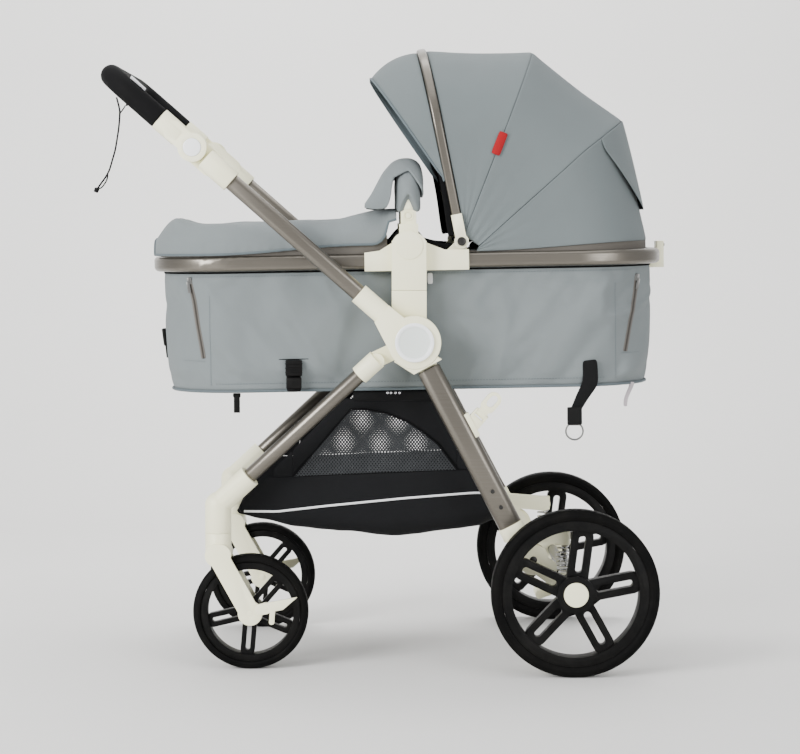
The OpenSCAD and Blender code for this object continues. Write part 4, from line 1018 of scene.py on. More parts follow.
def make_canopy():
    for name, rows, bodies, angles, node, rests in (
            ("canopy_cloth_front", taut_panel(MID_ROW, BOW_ROW, 1.3),
             ("canopy_middle", "canopy_front"), (MID_ANGLE, BOW_ANGLE), "canopy_panel_front",
             ["canopy_bow_shaped", "canopy_rib_mid_shaped"]),
            ("canopy_cloth_middle", taut_panel(REAR_ROW, MID_ROW, 4.7),
             ("canopy_back", "canopy_middle"), (REAR_ANGLE, MID_ANGLE), "canopy_panel_mid",
             ["canopy_rib_mid_shaped", "canopy_rib_rear_shaped"]),
            ("canopy_cloth_rear", taut_panel(BASE_ROW, REAR_ROW, 8.2),
             ("seat", "canopy_back"), (0, REAR_ANGLE), "canopy_panel_rear",
             ["seat_rail_shaped", "canopy_rib_rear_shaped"])):
        piece = cloth(name, rows, inside=CANOPY_HEART)
        finish(piece, None, "grey_fabric", grey_cloth, black_lining_and_shade)
        thicken(piece, 0.0020, 1, inner=1)
        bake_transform(piece)
        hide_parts(node)


make_canopy()


def make_visor():
    """The stiffened sun visor in front of the bow, ending in a rolled hem."""
    line = arch_line(0.200, 0.332, CORNER, 0.104)
    rows = []
    steps = 12
    for k in range(steps + 1):
        t = k / steps
        row = []
        for y, r in line:
            at_bow = canopy_point(BOW_ANGLE, r, y, -0.0085)
            rho = max(0.0, r - 0.105) * 0.955 + 0.002
            edge = Vector((CANOPY.x - 0.027 - 0.575 * rho, y * 0.99, CANOPY.z + 0.1 + 0.818 * rho))
            edge = at_bow.lerp(edge, smooth((r - 0.104) / 0.02))
            p = at_bow.lerp(edge, t)
            lift = 0.010 * 4 * t * (1 - t) * smooth((r - 0.2) / 0.14)
            p += Vector((-0.45, 0, 0.9)) * lift
            p += Vector((0, 1 if y < 0 else -1, 0)) * 0.004 * t * smooth((0.3 - r) / 0.1)
            row.append(p)
        rows.append(row)
    visor = cloth("canopy_sun_visor", rows, inside=CANOPY_HEART)
    finish(visor, "canopy_front", "grey_fabric", grey_cloth, grey_piping)
    thicken(visor, 0.0030, 1, inner=1)
    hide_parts("canopy_visor")
    make_piping("canopy_visor_hem", rows[-1], 0.0021, 12, "canopy_front", "grey_fabric", grey_piping)


make_visor()


def make_canopy_trims():
    """Black lining edge in front of the bow, the vent flap at the back and the red side tab."""
    for side, sign in SIDES.items():
        rows = []
        for k in range(15):
            r = 0.012 + (0.165 - 0.012) * k / 14
            width = 0.010 + 0.004 * smooth(1 - k / 8)
            rows.append([canopy_point(BOW_ANGLE, r, sign * (0.1955 - 0.001 * t), -0.0065 - width * t)
                         for t in (0, 0.33, 0.66, 1)])
        sew_on(f"canopy_lining_edge_{side}", rows, CANOPY_HEART, "canopy_front", "black_fabric", black_lining_and_shade,
               0.0016)
    make_vent_flap()
    make_side_tab()


def make_vent_flap():
    """The rear window's cover: sewn into the rear seam, with a straight lower edge on each side."""
    corner, slope = Vector((0.354, 0, 0.883)), 1.367
    columns = []
    for upper, lower in zip(REAR_ROW, BASE_ROW):
        way = lower - upper
        share = (corner.z - upper.z - slope * (upper.x - corner.x)) / (way.z + slope * way.x)
        if upper.x > corner.x and upper.z > CANOPY.z:
            columns.append((upper, lower, min(max(share, 0.004), 0.75)))
    rows = []
    for k in range(11):
        row = []
        for upper, lower, reach in columns:
            v = reach * k / 10
            p = upper.lerp(lower, v)
            out = Vector((p.x - CANOPY.x - 0.05, p.y * 0.65, p.z - CANOPY.z - 0.02)).normalized()
            row.append(p + out * (0.0012 + 0.0036 * 4 * v * (1 - v) + 0.0024 * (k / 10) ** 3))
        rows.append(row)
    flap = cloth("canopy_vent_flap", rows, inside=CANOPY_HEART)
    finish(flap, None, "grey_fabric", grey_cloth, black_lining_and_shade)
    thicken(flap, 0.0016, 1, inner=1)
    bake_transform(flap)


def make_side_tab():
    """A plain red tab sewn into the middle seam on the near side."""
    rows = []
    for k in range(7):
        r = 0.155 + 0.040 * k / 6
        rows.append([canopy_point(MID_ANGLE, r, -0.2012 - 0.0022 * math.sin(math.pi * t), -0.0075 + 0.0150 * t)
                     for t in (0, 0.25, 0.5, 0.75, 1)])
    sew_on("canopy_red_tab", rows, CANOPY_HEART, "canopy_middle", "grey_fabric", red_tab, 0.0009,
           offset=1.0)


make_canopy_trims()


# ---- Carrycot -----------------------------------------------------------------------

COT_X, COT_L, COT_HALF, COT_CORNER = -0.002, 0.845, 0.1815, 0.1315
COT_LOW, COT_TOP = -0.245, -0.013


def plan_line(length, half, corner, step=0.008):
    """(x, y) round the carrycot seen from above, from the middle of the near side, towards the head end."""
    sx, sy = length / 2 - corner, half - corner
    legs = [((0, -half), (sx, -half)), ("arc", (sx, -sy), -90), ((length / 2, -sy), (length / 2, sy)),
            ("arc", (sx, sy), 0), ((sx, half), (-sx, half)), ("arc", (-sx, sy), 90),
            ((-length / 2, sy), (-length / 2, -sy)), ("arc", (-sx, -sy), 180), ((-sx, -half), (0, -half))]
    points = []
    for leg in legs:
        if leg[0] == "arc":
            (cx, cy), a0 = leg[1], leg[2]
            n = max(2, round(corner * math.pi / 2 / step))
            points += [(cx + corner * math.cos(math.radians(a0 + 90 * k / n)),
                        cy + corner * math.sin(math.radians(a0 + 90 * k / n))) for k in range(n)]
        else:
            (x0, y0), (x1, y1) = leg
            n = max(1, round(math.hypot(x1 - x0, y1 - y0) / step))
            points += [(x0 + (x1 - x0) * k / n, y0 + (y1 - y0) * k / n) for k in range(n)]
    return points


def near_wall_y(x):
    """Y of the carrycot's near wall at a place along it."""
    off = abs(x - COT_X) - (COT_L / 2 - COT_CORNER)
    if off <= 0:
        return -COT_HALF
    return -(COT_HALF - COT_CORNER + math.sqrt(max(0.0, COT_CORNER ** 2 - off ** 2)))


def cot_row(z, inset):
    taper = 0.010 * (COT_TOP - z) / (COT_TOP - COT_LOW)
    row = []
    for x, y in plan_line(COT_L, COT_HALF, COT_CORNER):
        x *= 1 - 2 * taper / COT_L
        nx, ny = x / (COT_L / 2), y / COT_HALF
        out = Vector((x - math.copysign(max(0.0, COT_L / 2 - COT_CORNER), x) if abs(x) > COT_L / 2 - COT_CORNER else 0,
                      y - math.copysign(COT_HALF - COT_CORNER, y) if abs(y) > COT_HALF - COT_CORNER else 0, 0))
        out = out.normalized() if out.length > 1e-6 else Vector((math.copysign(1, nx) if abs(nx) > abs(ny) else 0,
                                                                  math.copysign(1, ny) if abs(ny) >= abs(nx) else 0, 0))
        p = Vector((x + COT_X, y, 0)) - out * inset
        row.append(seat_point(p.x, p.y, z))
    return row


def pull_folds(shell, held):
    """Long soft folds that run from the rail's ends down towards the middle, and small ones at the seams."""
    for vertex, weight in zip(shell.data.vertices, held):
        if weight:
            continue
        x, z = vertex.co.x - SEAT.x, vertex.co.z - SEAT.z
        side = math.copysign(1, vertex.co.y) if abs(vertex.co.y) > 0.05 else 0
        down = smooth((-0.040 - z) / 0.03) * smooth((z + 0.238) / 0.03)
        lean = 0.62 if x < 0 else -0.62
        across = x + lean * (z + 0.14)
        long_folds = 0.0170 * ripple((across, vertex.co.y * 0.4, z * 0.22), 0.062, 2.6)
        crease = max(0.0, 1 - abs(ripple((across, vertex.co.y * 0.4, z * 0.30), 0.085, 7.4)) / 0.16) ** 2
        long_folds += 0.0040 * crease * smooth((abs(x - 0.02) - 0.05) / 0.08)
        small = 0.0020 * ripple((across, vertex.co.y * 0.4, z * 0.4), 0.026, 5.2)
        tug = 0.0018 * math.sin(across * 95) * math.exp(-abs(z + 0.225) / 0.02)
        push = (long_folds + small + tug) * down
        push = push if push > 0 else 0.35 * push
        end = math.copysign(1, x) if abs(x) > COT_L / 2 - 0.06 else 0
        vertex.co += Vector((end * push * 0.3, side * push, 0))


def on_wall(x, z, out=0.0):
    """A point on the outside of the carrycot's near wall, in the carrycot's own frame."""
    start = seat_point(x, -0.30, z)
    shell = bpy.data.objects.get("carrycot_cloth")
    hit, place, *_ = shell.ray_cast(start, Vector((0, 1, 0)), distance=0.28)
    if not hit:
        place = Vector((start.x, near_wall_y(x), start.z))
    return Vector((start.x, place.y - max(0.0, out - 0.0026), start.z))


def wall_strip(name, path, width, material, finish_slot="grey_fabric", out=0.0032, thick=0.0010):
    """A narrow strip of tape sewn on the near wall along (x, z) points."""
    rows = []
    for k, (x, z) in enumerate(path):
        x0, z0 = path[max(0, k - 1)]
        x1, z1 = path[min(len(path) - 1, k + 1)]
        way = Vector((x1 - x0, 0, z1 - z0)).normalized()
        across = Vector((-way.z, 0, way.x)) * width / 2
        rows.append([on_wall(x + across.x * t, z + across.z * t, out) for t in (-1, -0.4, 0.4, 1)])
    piece = cloth(name, rows, inside=(0, 0, 0.6))
    finish(piece, "seat", finish_slot, material)
    thicken(piece, thick, 1, offset=0.0)
    return piece


def path_between(points, count):
    """Evenly spaced (x, z) points along a broken line."""
    lengths = [math.dist(a, b) for a, b in zip(points, points[1:])]
    total, out = sum(lengths), []
    for k in range(count + 1):
        left = total * k / count
        for (a, b), length in zip(zip(points, points[1:]), lengths):
            if left <= length or (a, b) == (points[-2], points[-1]):
                t = min(1, left / length)
                out.append((a[0] + (b[0] - a[0]) * t, a[1] + (b[1] - a[1]) * t))
                break
            left -= length
    return out


def make_zip(name, points, sign):
    """A zip let into the wall: a tape, its dark teeth and a slider with a pull."""
    path = path_between(points, 24)
    tape = wall_strip(name + "_tape", path, 0.0085, zip_tape, out=0.0030)
    teeth = wall_strip(name + "_teeth", path, 0.0030, zip_brown, out=0.0042)
    place = on_wall(*path[1], 0.0062)
    slider = block(name + "_slider", (0.0070, 0.0030, 0.0120), place, turn=(0, math.radians(6 * sign), 0), edge=0.0010)
    pull = block(name + "_pull", (0.0050, 0.0016, 0.0190), place + Vector((0.001 * sign, -0.0028, -0.011)),
                 turn=(0, math.radians(10 * sign), 0), edge=0.0006)
    finish(slider, "seat", "axle_steel", dark_steel)
    finish(pull, "seat", "axle_steel", dark_steel)


def make_stitching(name, points, pieces):
    """A row of single stitches along a line on the near wall."""
    path = path_between(points, pieces * 2)
    made = []
    for k in range(0, len(path) - 1, 2):
        (x0, z0), (x1, z1) = path[k], path[k + 1]
        made.append(tube("stitch", [on_wall(x0, z0, 0.0030), on_wall((x0 + x1) / 2, (z0 + z1) / 2, 0.0036),
                                    on_wall(x1, z1, 0.0030)], 0.00045, 4))
    row = join(name, made)
    add_uv(row)
    finish(row, "seat", "grey_fabric", grey_piping)


def make_cot_details():
    """Zips, stitched hems, the side-release buckle, the strap with its ring, and the small tabs."""
    make_zip("foot_zip", [(-0.3735, -0.0480), (-0.3650, -0.0880), (-0.3510, -0.1860)], -1)
    make_zip("head_zip", [(0.3900, -0.0560), (0.3835, -0.1000), (0.3650, -0.1870)], 1)
    for seam, start, end, pieces in (
            ("foot_hem", (-0.3860, -0.1890), (-0.3470, -0.1905), 10),
            ("head_hem", (0.3580, -0.1890), (0.3920, -0.1890), 9),
            ("foot_seam", (-0.3380, -0.0800), (-0.3390, -0.2330), 36),
            ("head_seam", (0.3480, -0.0700), (0.3480, -0.2330), 36),
            ("low_hem", (-0.3300, -0.2290), (0.3300, -0.2290), 130),
            ("top_hem", (-0.3700, -0.0475), (0.3800, -0.0475), 150)):
        make_stitching(seam + "_stitches", [start, end], pieces)
    # buckle: a male part below, its housing above, on a webbing band through a slot
    # the slot is a thin flat black strip on the wall: painted shade of its opening
    slot = wall_strip("buckle_slot_shade", [(-0.2250, -0.1880), (-0.1700, -0.1880)], 0.0016, black_lining_and_shade, out=0.0030)
    centre = on_wall(-0.1975, -0.2130, 0.0075)
    housing = block("buckle_housing", (0.0280, 0.0100, 0.0270), centre + Vector((0, 0, 0.0105)), edge=0.0022,
                    segments=3)
    latch = block("buckle_latch", (0.0255, 0.0080, 0.0190), centre + Vector((0, 0, -0.0150)), edge=0.0020, segments=3)
    ribs = [block("buckle_rib", (0.0290, 0.0022, 0.0022), centre + Vector((0, -0.0052, 0.0180 - 0.0075 * k)),
                  edge=0.0006) for k in range(3)]
    buckle = join("side_release_buckle", [housing, latch] + ribs)
    finish(buckle, "seat", "black_plastic", black_hard)
    band = wall_strip("buckle_band", path_between([(-0.1980, -0.1880), (-0.1985, -0.2440)], 8), 0.0250, webbing,
                      "black_fabric", out=0.0042, thick=0.0016)
    make_ring_strap()
    make_small_tabs()


def make_ring_strap():
    """Webbing sewn to the wall near the head end, folded through a steel ring that hangs free."""
    ring = seat_point(0.275, -0.1835, -0.319)
    rows = []
    for x, z, half, out in ((0.3020, -0.1980, 0.0130, 0.0030), (0.3030, -0.2150, 0.0130, 0.0045),
                            (0.3035, -0.2330, 0.0132, 0.0050), (0.2990, -0.2460, 0.0160, 0.0046),
                            (0.2900, -0.2600, 0.0130, 0.0034), (0.2800, -0.2790, 0.0106, 0.0026),
                            (0.2760, -0.2860, 0.0110, 0.0024)):
        slope = Vector((1, 0, 0.10))
        wall = min(on_wall(x, max(z, -0.236)).y, -0.1800) if z > -0.25 else -0.1800
        rows.append([seat_point(x + slope.x * half * t, wall - out - 0.0006 * (1 - t * t), z + slope.z * half * t)
                     for t in (-1, -0.5, 0, 0.5, 1)])
    band = cloth("ring_strap_band", rows, inside=(0.3, 0, 0.5))
    finish(band, "seat", "black_fabric", webbing)
    thicken(band, 0.0018, 1)
    pocket = block("ring_strap_loop", (0.0250, 0.0062, 0.0300), seat_point(0.2755, -0.1837, -0.2930), edge=0.0018,
                   segments=3, turn=(0, -LEAN, 0))
    finish(pocket, "seat", "black_fabric", webbing_flat)
    path = []
    for k in range(49):
        t = math.tau * k / 48
        flat = min(math.sin(t) * 0.0145, 0.0110)
        path.append(ring + Vector((math.cos(t) * 0.0145, 0, flat)))
    wire = tube("strap_d_ring", path[:-1], 0.0015, 12, around=True)
    finish(wire, "seat", "steel_bright", dark_steel)
    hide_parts("cot_straps")


def make_small_tabs():
    """The toggle and pull at the foot end, the care tape and knob at the head end, and the size tag."""
    toggle = block("foot_toggle", (0.0060, 0.0220, 0.0300), seat_point(COT_X - COT_L / 2 - 0.0010, -0.0600, -0.1530),
                   turn=(0, math.radians(-8), 0), edge=0.0018)
    strap = block("foot_toggle_tail", (0.0030, 0.0180, 0.0260),
                  seat_point(COT_X - COT_L / 2 + 0.0020, -0.0600, -0.1760),
                  turn=(0, math.radians(-6), 0), edge=0.0010)
    finish(join("foot_toggle", [toggle, strap]), "seat", "black_plastic", black_hard)
    bottom = on_wall(-0.2960, -0.2450, 0.0)
    bottom.y += 0.014
    pull = block("under_zip_pull", (0.0105, 0.0024, 0.0300), bottom + Vector((0, 0, -0.0190)), edge=0.0010)
    neck = block("under_zip_neck", (0.0130, 0.0040, 0.0070), bottom + Vector((0, 0, -0.0040)), edge=0.0014)
    finish(join("under_zip", [pull, neck]), "seat", "black_plastic", black_hard)
    wall_strip("size_tag", [(0.0345, -0.0465), (0.0345, -0.0560), (0.0345, -0.0655)], 0.0093, white_tape, out=0.0040)
    bpy.ops.mesh.primitive_uv_sphere_add(segments=24, ring_count=14, radius=0.0042,
                                         location=seat_point(0.4475, -0.012, -0.0085))
    knob = start_piece("recline_knob")
    shade_smooth(knob)
    finish(knob, "seat", "black_plastic", black_hard)
    rows = []
    for k in range(9):
        t = k / 8
        x = 0.3780 - 0.0120 * smooth(t * 1.2)
        y = near_wall_y(0.3700) + 0.012 + 0.002 * math.sin(6 * t)
        rows.append([seat_point(x + 0.0045 * w * (1 - 0.3 * t), y - 0.0010 * w * t, -0.2400 - 0.0420 * t)
                     for w in (-1, 0, 1)])
    tape = cloth("care_tape", rows, inside=(0, 0, 0.5))
    finish(tape, "seat", "grey_fabric", mauve_tape)
    thicken(tape, 0.0006, 1, offset=0)


def make_cot():
    rows = [cot_row(z, inset) for z, inset in
            [(COT_TOP, 0.0015), (-0.020, 0.0012), (-0.030, 0.001), (-0.038, 0.001)] +
            [(-0.038 - 0.197 * k / 26, 0.0012) for k in range(1, 27)] +
            [(-0.2395, 0.0025), (-0.2430, 0.0060)]]
    shell = cloth("carrycot_cloth", rows, around=True)
    finish(shell, None, "grey_fabric", cot_cloth, cot_liner)
    wide = len(rows[0])
    held = [1.0 if row < 4 or row >= len(rows) - 3 else 0.0 for row in range(len(rows)) for _ in range(wide)]
    pull_folds(shell, held)
    settle(shell, held, frames=20, slack=0.012, cap=0.0045, bending=1.0)
    thicken(shell, 0.0020, 1, inner=1)
    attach(shell, "seat")
    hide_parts("cot_body", "cot_ends")
    # flat bottom, and the liner inside
    inner = cot_row(-0.2434, 0.007)
    centre = seat_point(COT_X, 0, -0.2434)
    base_rows = [[centre.lerp(p, t) for p in inner] for t in (0.0005, 0.25, 0.5, 0.75, 1.0)]
    base = cloth("carrycot_base", base_rows, around=True, inside=centre + Vector((0, 0, 0.1)))
    merge_points(base, 0.0006)
    finish(base, "seat", "black_fabric", black_cloth)
    thicken(base, 0.0022, 0, offset=1.0)
    lining_rows = [cot_row(z, inset) for z, inset in
                   [(COT_TOP - 0.0006, 0.004), (-0.020, 0.0075), (-0.05, 0.0110), (-0.10, 0.0120), (-0.16, 0.0120),
                    (-0.21, 0.0115), (-0.232, 0.0100)]]
    lining = cloth("carrycot_lining", lining_rows, around=True)
    lining.data.flip_normals()
    for vertex in lining.data.vertices:
        vertex.co.y += 0.0016 * ripple(vertex.co, 0.06, 5.0) * smooth((SEAT.z - 0.02 - vertex.co.z) / 0.05)
    finish(lining, "seat", "liner_fabric", cot_liner)
    thicken(lining, 0.0014, 1)
    make_piping("carrycot_piping", cot_row(-0.2418, 0.0012), 0.0024, 12, "seat", "grey_fabric", grey_piping,
                around=True)
    # painted shadow: a thin black cord just below the rail stands for the dark shadow line between the rail and the
    # cloth
    make_piping("carrycot_rail_shadow_line", cot_row(-0.0412, -0.0002), 0.0016, 8, "seat", "black_fabric",
                black_lining_and_shade, around=True)


make_cot()
make_cot_details()


def make_mattress():
    """The flat mattress, swollen by its filling and sewn round its edge."""
    low, high = -0.2355, -0.2065
    outline = [(x * 0.952, y * 0.93) for x, y in plan_line(COT_L - 0.02, COT_HALF - 0.01, COT_CORNER - 0.01, 0.010)]
    rings = []
    for z, size in ((low, 0.93), (low + 0.004, 0.985), ((low + high) / 2, 1.0), (high - 0.006, 0.985), (high, 0.93)):
        rings.append([seat_point(COT_X + x * size, y * size, z) for x, y in outline])
    for size, z in ((0.75, high + 0.002), (0.5, high + 0.003), (0.25, high + 0.003), (0.03, high + 0.003)):
        rings.append([seat_point(COT_X + x * size, y * size, z) for x, y in outline])
    under = [[seat_point(COT_X + x * size, y * size, low) for x, y in outline] for size in (0.03, 0.5)]
    piece = close_ends(cloth("cot_mattress", under + rings, around=True))
    add_modifier(piece, "REMESH", mode="VOXEL", voxel_size=0.006)
    settle(piece, [1.0 if v.co.z < SEAT.z + low + 0.002 else 0.0 for v in piece.data.vertices],
           frames=12, pressure=3.0, cap=0.004)
    add_uv(piece)
    finish(piece, "seat", "liner_fabric", cot_liner)
    shade_smooth(piece)
    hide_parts("mattress")


make_mattress()


# ---- Apron, its flap and the bumper cover ----------------------------------------------

RAIL_L, RAIL_HALF, RAIL_CORNER = 0.878, 0.198, 0.140
APRON_RISE, APRON_START, APRON_END = 0.042, -0.436, -0.020


def apron_top(x):
    """Height of the apron's crown: a soft roll at the foot end, a flat run and a rise to the bumper."""
    at_end = max(0.0, x + 0.441)
    rise = APRON_RISE * math.sqrt(min(1.0, at_end / 0.045))
    rise += 0.011 * math.exp(-((x + 0.400) / 0.026) ** 2)
    rise -= 0.002 * math.exp(-((x + 0.345) / 0.040) ** 2)
    return rise + 0.019 * smooth((x + 0.150) / 0.125)


def apron_hem(x):
    """Height of the apron's lower edge: it lifts off the rail towards the bumper and ends in a round corner."""
    low = RAIL_TOP + 0.0030 + 0.0130 * smooth((x + 0.33) / 0.25)
    if x > -0.060:
        run = min(1.0, (x + 0.060) / 0.026)
        low += 0.037 * (1 - math.sqrt(max(0.0, 1 - run * run))) + 0.004 * smooth((x + 0.034) / 0.014)
    return low


def apron_half(x):
    from_end = x + RAIL_L / 2 - COT_X
    half = RAIL_HALF if from_end >= RAIL_CORNER else (
        RAIL_HALF - RAIL_CORNER + math.sqrt(max(0.0, RAIL_CORNER ** 2 - (RAIL_CORNER - from_end) ** 2)))
    return half - 0.0035


def apron_row(x):
    """A cross section from the near rail over the crown to the far rail, with a gathered lower edge."""
    low, top = apron_hem(x), apron_top(x)
    corner = max(0.004, min(0.040, top - low - 0.003))
    return arch_line(apron_half(x), top, corner, low, side=6, turn=10, top=22)


def make_apron():
    stations = [APRON_START + (APRON_END - APRON_START) * (k / 62) for k in range(63)]
    stations[1:1] = [APRON_START + 0.0018, APRON_START + 0.004]
    rows = []
    for x in stations:
        row = []
        for y, z in apron_row(x):
            p = seat_point(x, y, z)
            low = apron_hem(x)
            near_hem = math.exp(-max(0.0, z - low) / 0.012)
            gather = 0.0016 * math.sin(x * 520 + 1.7 * math.sin(x * 90)) * near_hem * smooth((-0.05 - x) / 0.05)
            quilt = 0.0048 * ripple(p, 0.085, 6.1) + 0.0022 * ripple(p, 0.034, 2.4)
            away = smooth((z - low) / 0.02)
            side = math.copysign(1, y) if abs(y) > 0.12 else 0
            p += Vector((0, side * (gather + quilt * 0.7 * away), quilt * away * 0.9))
            row.append(p)
        rows.append(row)
    piece = cloth("foot_apron", rows, inside=seat_point(-0.2, 0, -0.05))
    finish(piece, None, "grey_fabric", cot_cloth, black_lining_and_shade)
    thicken(piece, 0.0030, 1, inner=1)
    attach(piece, "seat")
    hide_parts("apron")
    # piping along the lower edge, all the way round the foot end
    near = [row[0] for row in rows]
    far = [row[-1] for row in rows]
    edge = [p + Vector((0, -0.0006, 0)) for p in reversed(near)] + list(rows[0][1:-1]) + \
           [p + Vector((0, 0.0006, 0)) for p in far]
    make_piping("apron_piping", edge, 0.0022, 10, "seat", "grey_fabric", grey_piping)


make_apron()


def make_inner_bands():
    """Cloth bands that close the gaps between the hems and the rail, seen only below the hems; their brown-grey is
    painted shade and reflection of the gaps.
    """
    for side, sign in SIDES.items():
        rows = []
        for k in range(41):
            x = -0.425 + (-0.036 + 0.425) * k / 40
            y = sign * (apron_half(x) - 0.0040)
            rows.append([seat_point(x, y, RAIL_TOP - 0.001 + (apron_hem(x) + 0.004 - RAIL_TOP) * t)
                         for t in (0, 0.5, 1)])
        sew_on(f"apron_inner_band_{side}", rows, seat_point(-0.2, 0, 0), "seat", "grey_fabric", gap_shade_cloth,
               0.0010)
        # painted shade: a black sheet rises behind the joint block and fills the gap between the apron and the canopy
        knots = [(-0.0740, -0.0100), (-0.0712, 0.0010), (-0.0517, 0.0025), (-0.0322, 0.0092), (-0.0262, 0.0183),
                 (-0.0157, 0.0288), (0.0, 0.0330), (0.0157, 0.0260), (0.0263, 0.0114), (0.0488, 0.0047),
                 (0.0579, 0.0032), (0.0900, 0.0010)]
        rows = [[seat_point(x, sign * (0.1862 - 0.0006 * t), -0.0155 + (outline_at(knots, x) + 0.0155) * t)
                 for t in (0, 0.33, 0.66, 1)] for x in [-0.073 + 0.162 * k / 36 for k in range(37)]]
        sew_on(f"carrycot_middle_gap_shade_{side}", rows, seat_point(0, 0, 0), "seat", "black_fabric", black_lining_and_shade,
               0.0016)
    rows = []
    foot = arch_line(0.1885, 0.3250, 0.1335, 0.010)
    for t in (0, 0.5, 1):
        rows.append([seat_point(x + 0.0881, y, RAIL_TOP - 0.0030 + t * (0.0060 + 0.0125 * smooth((x - 0.03) / 0.29)))
                     for y, x in foot])
    # the band under the canopy's foot, in the same brown-grey painted shade and reflection
    sew_on("canopy_inner_band", rows, seat_point(0.20, 0, 0), "seat", "grey_fabric", gap_shade_cloth, 0.0010)


def outline_at(knots, x, ease=float):
    """Height at x of a broken line through (x, height) knots, or of a softened one with ease=smooth."""
    for (x0, z0), (x1, z1) in zip(knots, knots[1:]):
        if x <= x1:
            return z0 + (z1 - z0) * ease(min(max((x - x0) / (x1 - x0), 0), 1))
    return knots[-1][1]


make_inner_bands()

BUMPER_RISE, BUMPER_HALF = 0.121, 0.190


FLAP_STATIONS = [
    # along, height of the top, height of the side edge, half width, corner
    (-0.0740, 0.0700, 0.0640, 0.2050, 0.0060), (-0.0655, 0.0815, 0.0622, 0.2062, 0.0180),
    (-0.0575, 0.0960, 0.0612, 0.2075, 0.0300), (-0.0490, 0.1105, 0.0612, 0.2090, 0.0400),
    (-0.0410, 0.1235, 0.0625, 0.2105, 0.0520), (-0.0345, 0.1325, 0.0680, 0.2120, 0.0660),
    (-0.0290, 0.1385, 0.0860, 0.2132, 0.0740), (-0.0255, 0.1412, 0.1130, 0.2135, 0.0755),
    (-0.0200, 0.1440, 0.1175, 0.2135, 0.0755), (-0.0110, 0.1468, 0.1215, 0.2135, 0.0755),
    (0.0010, 0.1475, 0.1258, 0.2135, 0.0755), (0.0090, 0.1457, 0.1180, 0.2135, 0.0755),
    (0.0150, 0.1425, 0.1090, 0.2135, 0.0755), (0.0205, 0.1370, 0.1010, 0.2135, 0.0755),
    (0.0245, 0.1285, 0.0940, 0.2135, 0.0755), (0.0262, 0.1180, 0.0890, 0.2130, 0.0755),
    (0.0262, 0.1070, 0.0850, 0.2125, 0.0755), (0.0252, 0.0965, 0.0820, 0.2120, 0.0755),
    (0.0240, 0.0880, 0.0790, 0.2115, 0.0755)]


def flap_line(top, low, half, corner, turn=16, across=22):
    """(y, z) of a cross section that goes round the padded bar and ends at the height low on each side."""
    centre = top - corner
    side = max(0.0, centre - low)
    first = math.asin(min(1.0, max(0.0, (low - centre) / corner)))
    arc = corner * (math.pi / 2 - first)
    near = []
    for k in range(turn):
        run = (side + arc) * k / turn
        if run < side:
            near.append((-half, low + run))
        else:
            a = first + (run - side) / corner
            near.append((-half + corner * (1 - math.cos(a)), centre + corner * math.sin(a)))
    flat = half - corner
    middle = [(-flat + 2 * flat * k / across, top) for k in range(across + 1)]
    return near + middle + [(-y, z) for y, z in reversed(near)]


def make_flap():
    """The apron's padded flap, laid over the bumper bar and hanging down behind it."""
    rows = []
    for x, top, low, half, corner in rounded_route(FLAP_STATIONS, 3):
        row = []
        for y, z in flap_line(top, low, half, corner):
            p = seat_point(x, y, z)
            p += Vector((0.0012 * ripple(p, 0.03, 3.0), 0.0010 * ripple(p, 0.04, 9.0), 0.0018 * ripple(p, 0.06, 7.0)))
            row.append(p)
        rows.append(row)
    piece = cloth("apron_flap", rows, inside=seat_point(0, 0, 0.06))
    finish(piece, None, "grey_fabric", cot_cloth, black_lining_and_shade)
    thicken(piece, 0.0040, 1, inner=1)
    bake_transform(piece)


def make_bumper_sleeve():
    """Padded cloth sleeve round the bumper bar, with a seam along its outer side."""
    spine = arch_line(BUMPER_HALF, BUMPER_RISE, 0.050, 0.0545, side=7, turn=14, top=24)
    rows = []
    for j, (y, z) in enumerate(spine):
        a, b = spine[max(0, j - 1)], spine[min(len(spine) - 1, j + 1)]
        way = Vector((0, b[0] - a[0], b[1] - a[1])).normalized()
        out = Vector((0, way.z, -way.y))
        ends = min(j, len(spine) - 1 - j)
        radius = 0.0205 * (1 - 0.28 * math.exp(-ends / 0.8))
        ring = []
        for k in range(28):
            t = math.tau * k / 28
            seam = 0.0014 * math.exp(-((t - math.pi) / 0.16) ** 2)
            notch = 0.032 * max(0.0, 1 - abs(t - math.pi) / 0.95) * max(0.0, 1 - (z - 0.0545) / 0.045)
            p = Vector((0, y, z)) + (Vector((1, 0, 0)) * math.cos(t + math.pi / 2) + out * math.sin(t + math.pi / 2)) * (
                radius - seam + 0.0009 * ripple((t, y, z), 0.5, 1.0) + 0.0008 * ripple((y, z, 0), 0.02, 4.0))
            ring.append(seat_point(p.x, p.y, p.z + notch))
        rows.append(ring)
    piece = close_ends(cloth("bumper_sleeve", rows, around=True))
    add_modifier(piece, "SUBSURF", levels=1, render_levels=1)
    shade_smooth(piece)
    finish(piece, "bumper", "grey_fabric", cot_cloth)
    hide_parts("bumper_cover")


make_bumper_sleeve()
make_flap()


# ---- Basket ----------------------------------------------------------------------------

RIM_KNOTS = [(-0.258, 0.2632), (-0.192, 0.2625), (-0.108, 0.272), (0.029, 0.2855), (0.133, 0.2935),
             (0.150, 0.2945), (0.182, 0.2900)]
FLOOR_KNOTS = [(-0.258, 0.2590), (-0.215, 0.2475), (-0.162, 0.2330), (-0.082, 0.2240), (-0.006, 0.2205),
               (0.048, 0.2225), (0.110, 0.2275), (0.150, 0.2340), (0.182, 0.2460)]


def rim_height(x):
    """Height of the basket's white piping along the stroller."""
    return outline_at(RIM_KNOTS, x)


def floor_height(x):
    return outline_at(FLOOR_KNOTS, x, smooth)


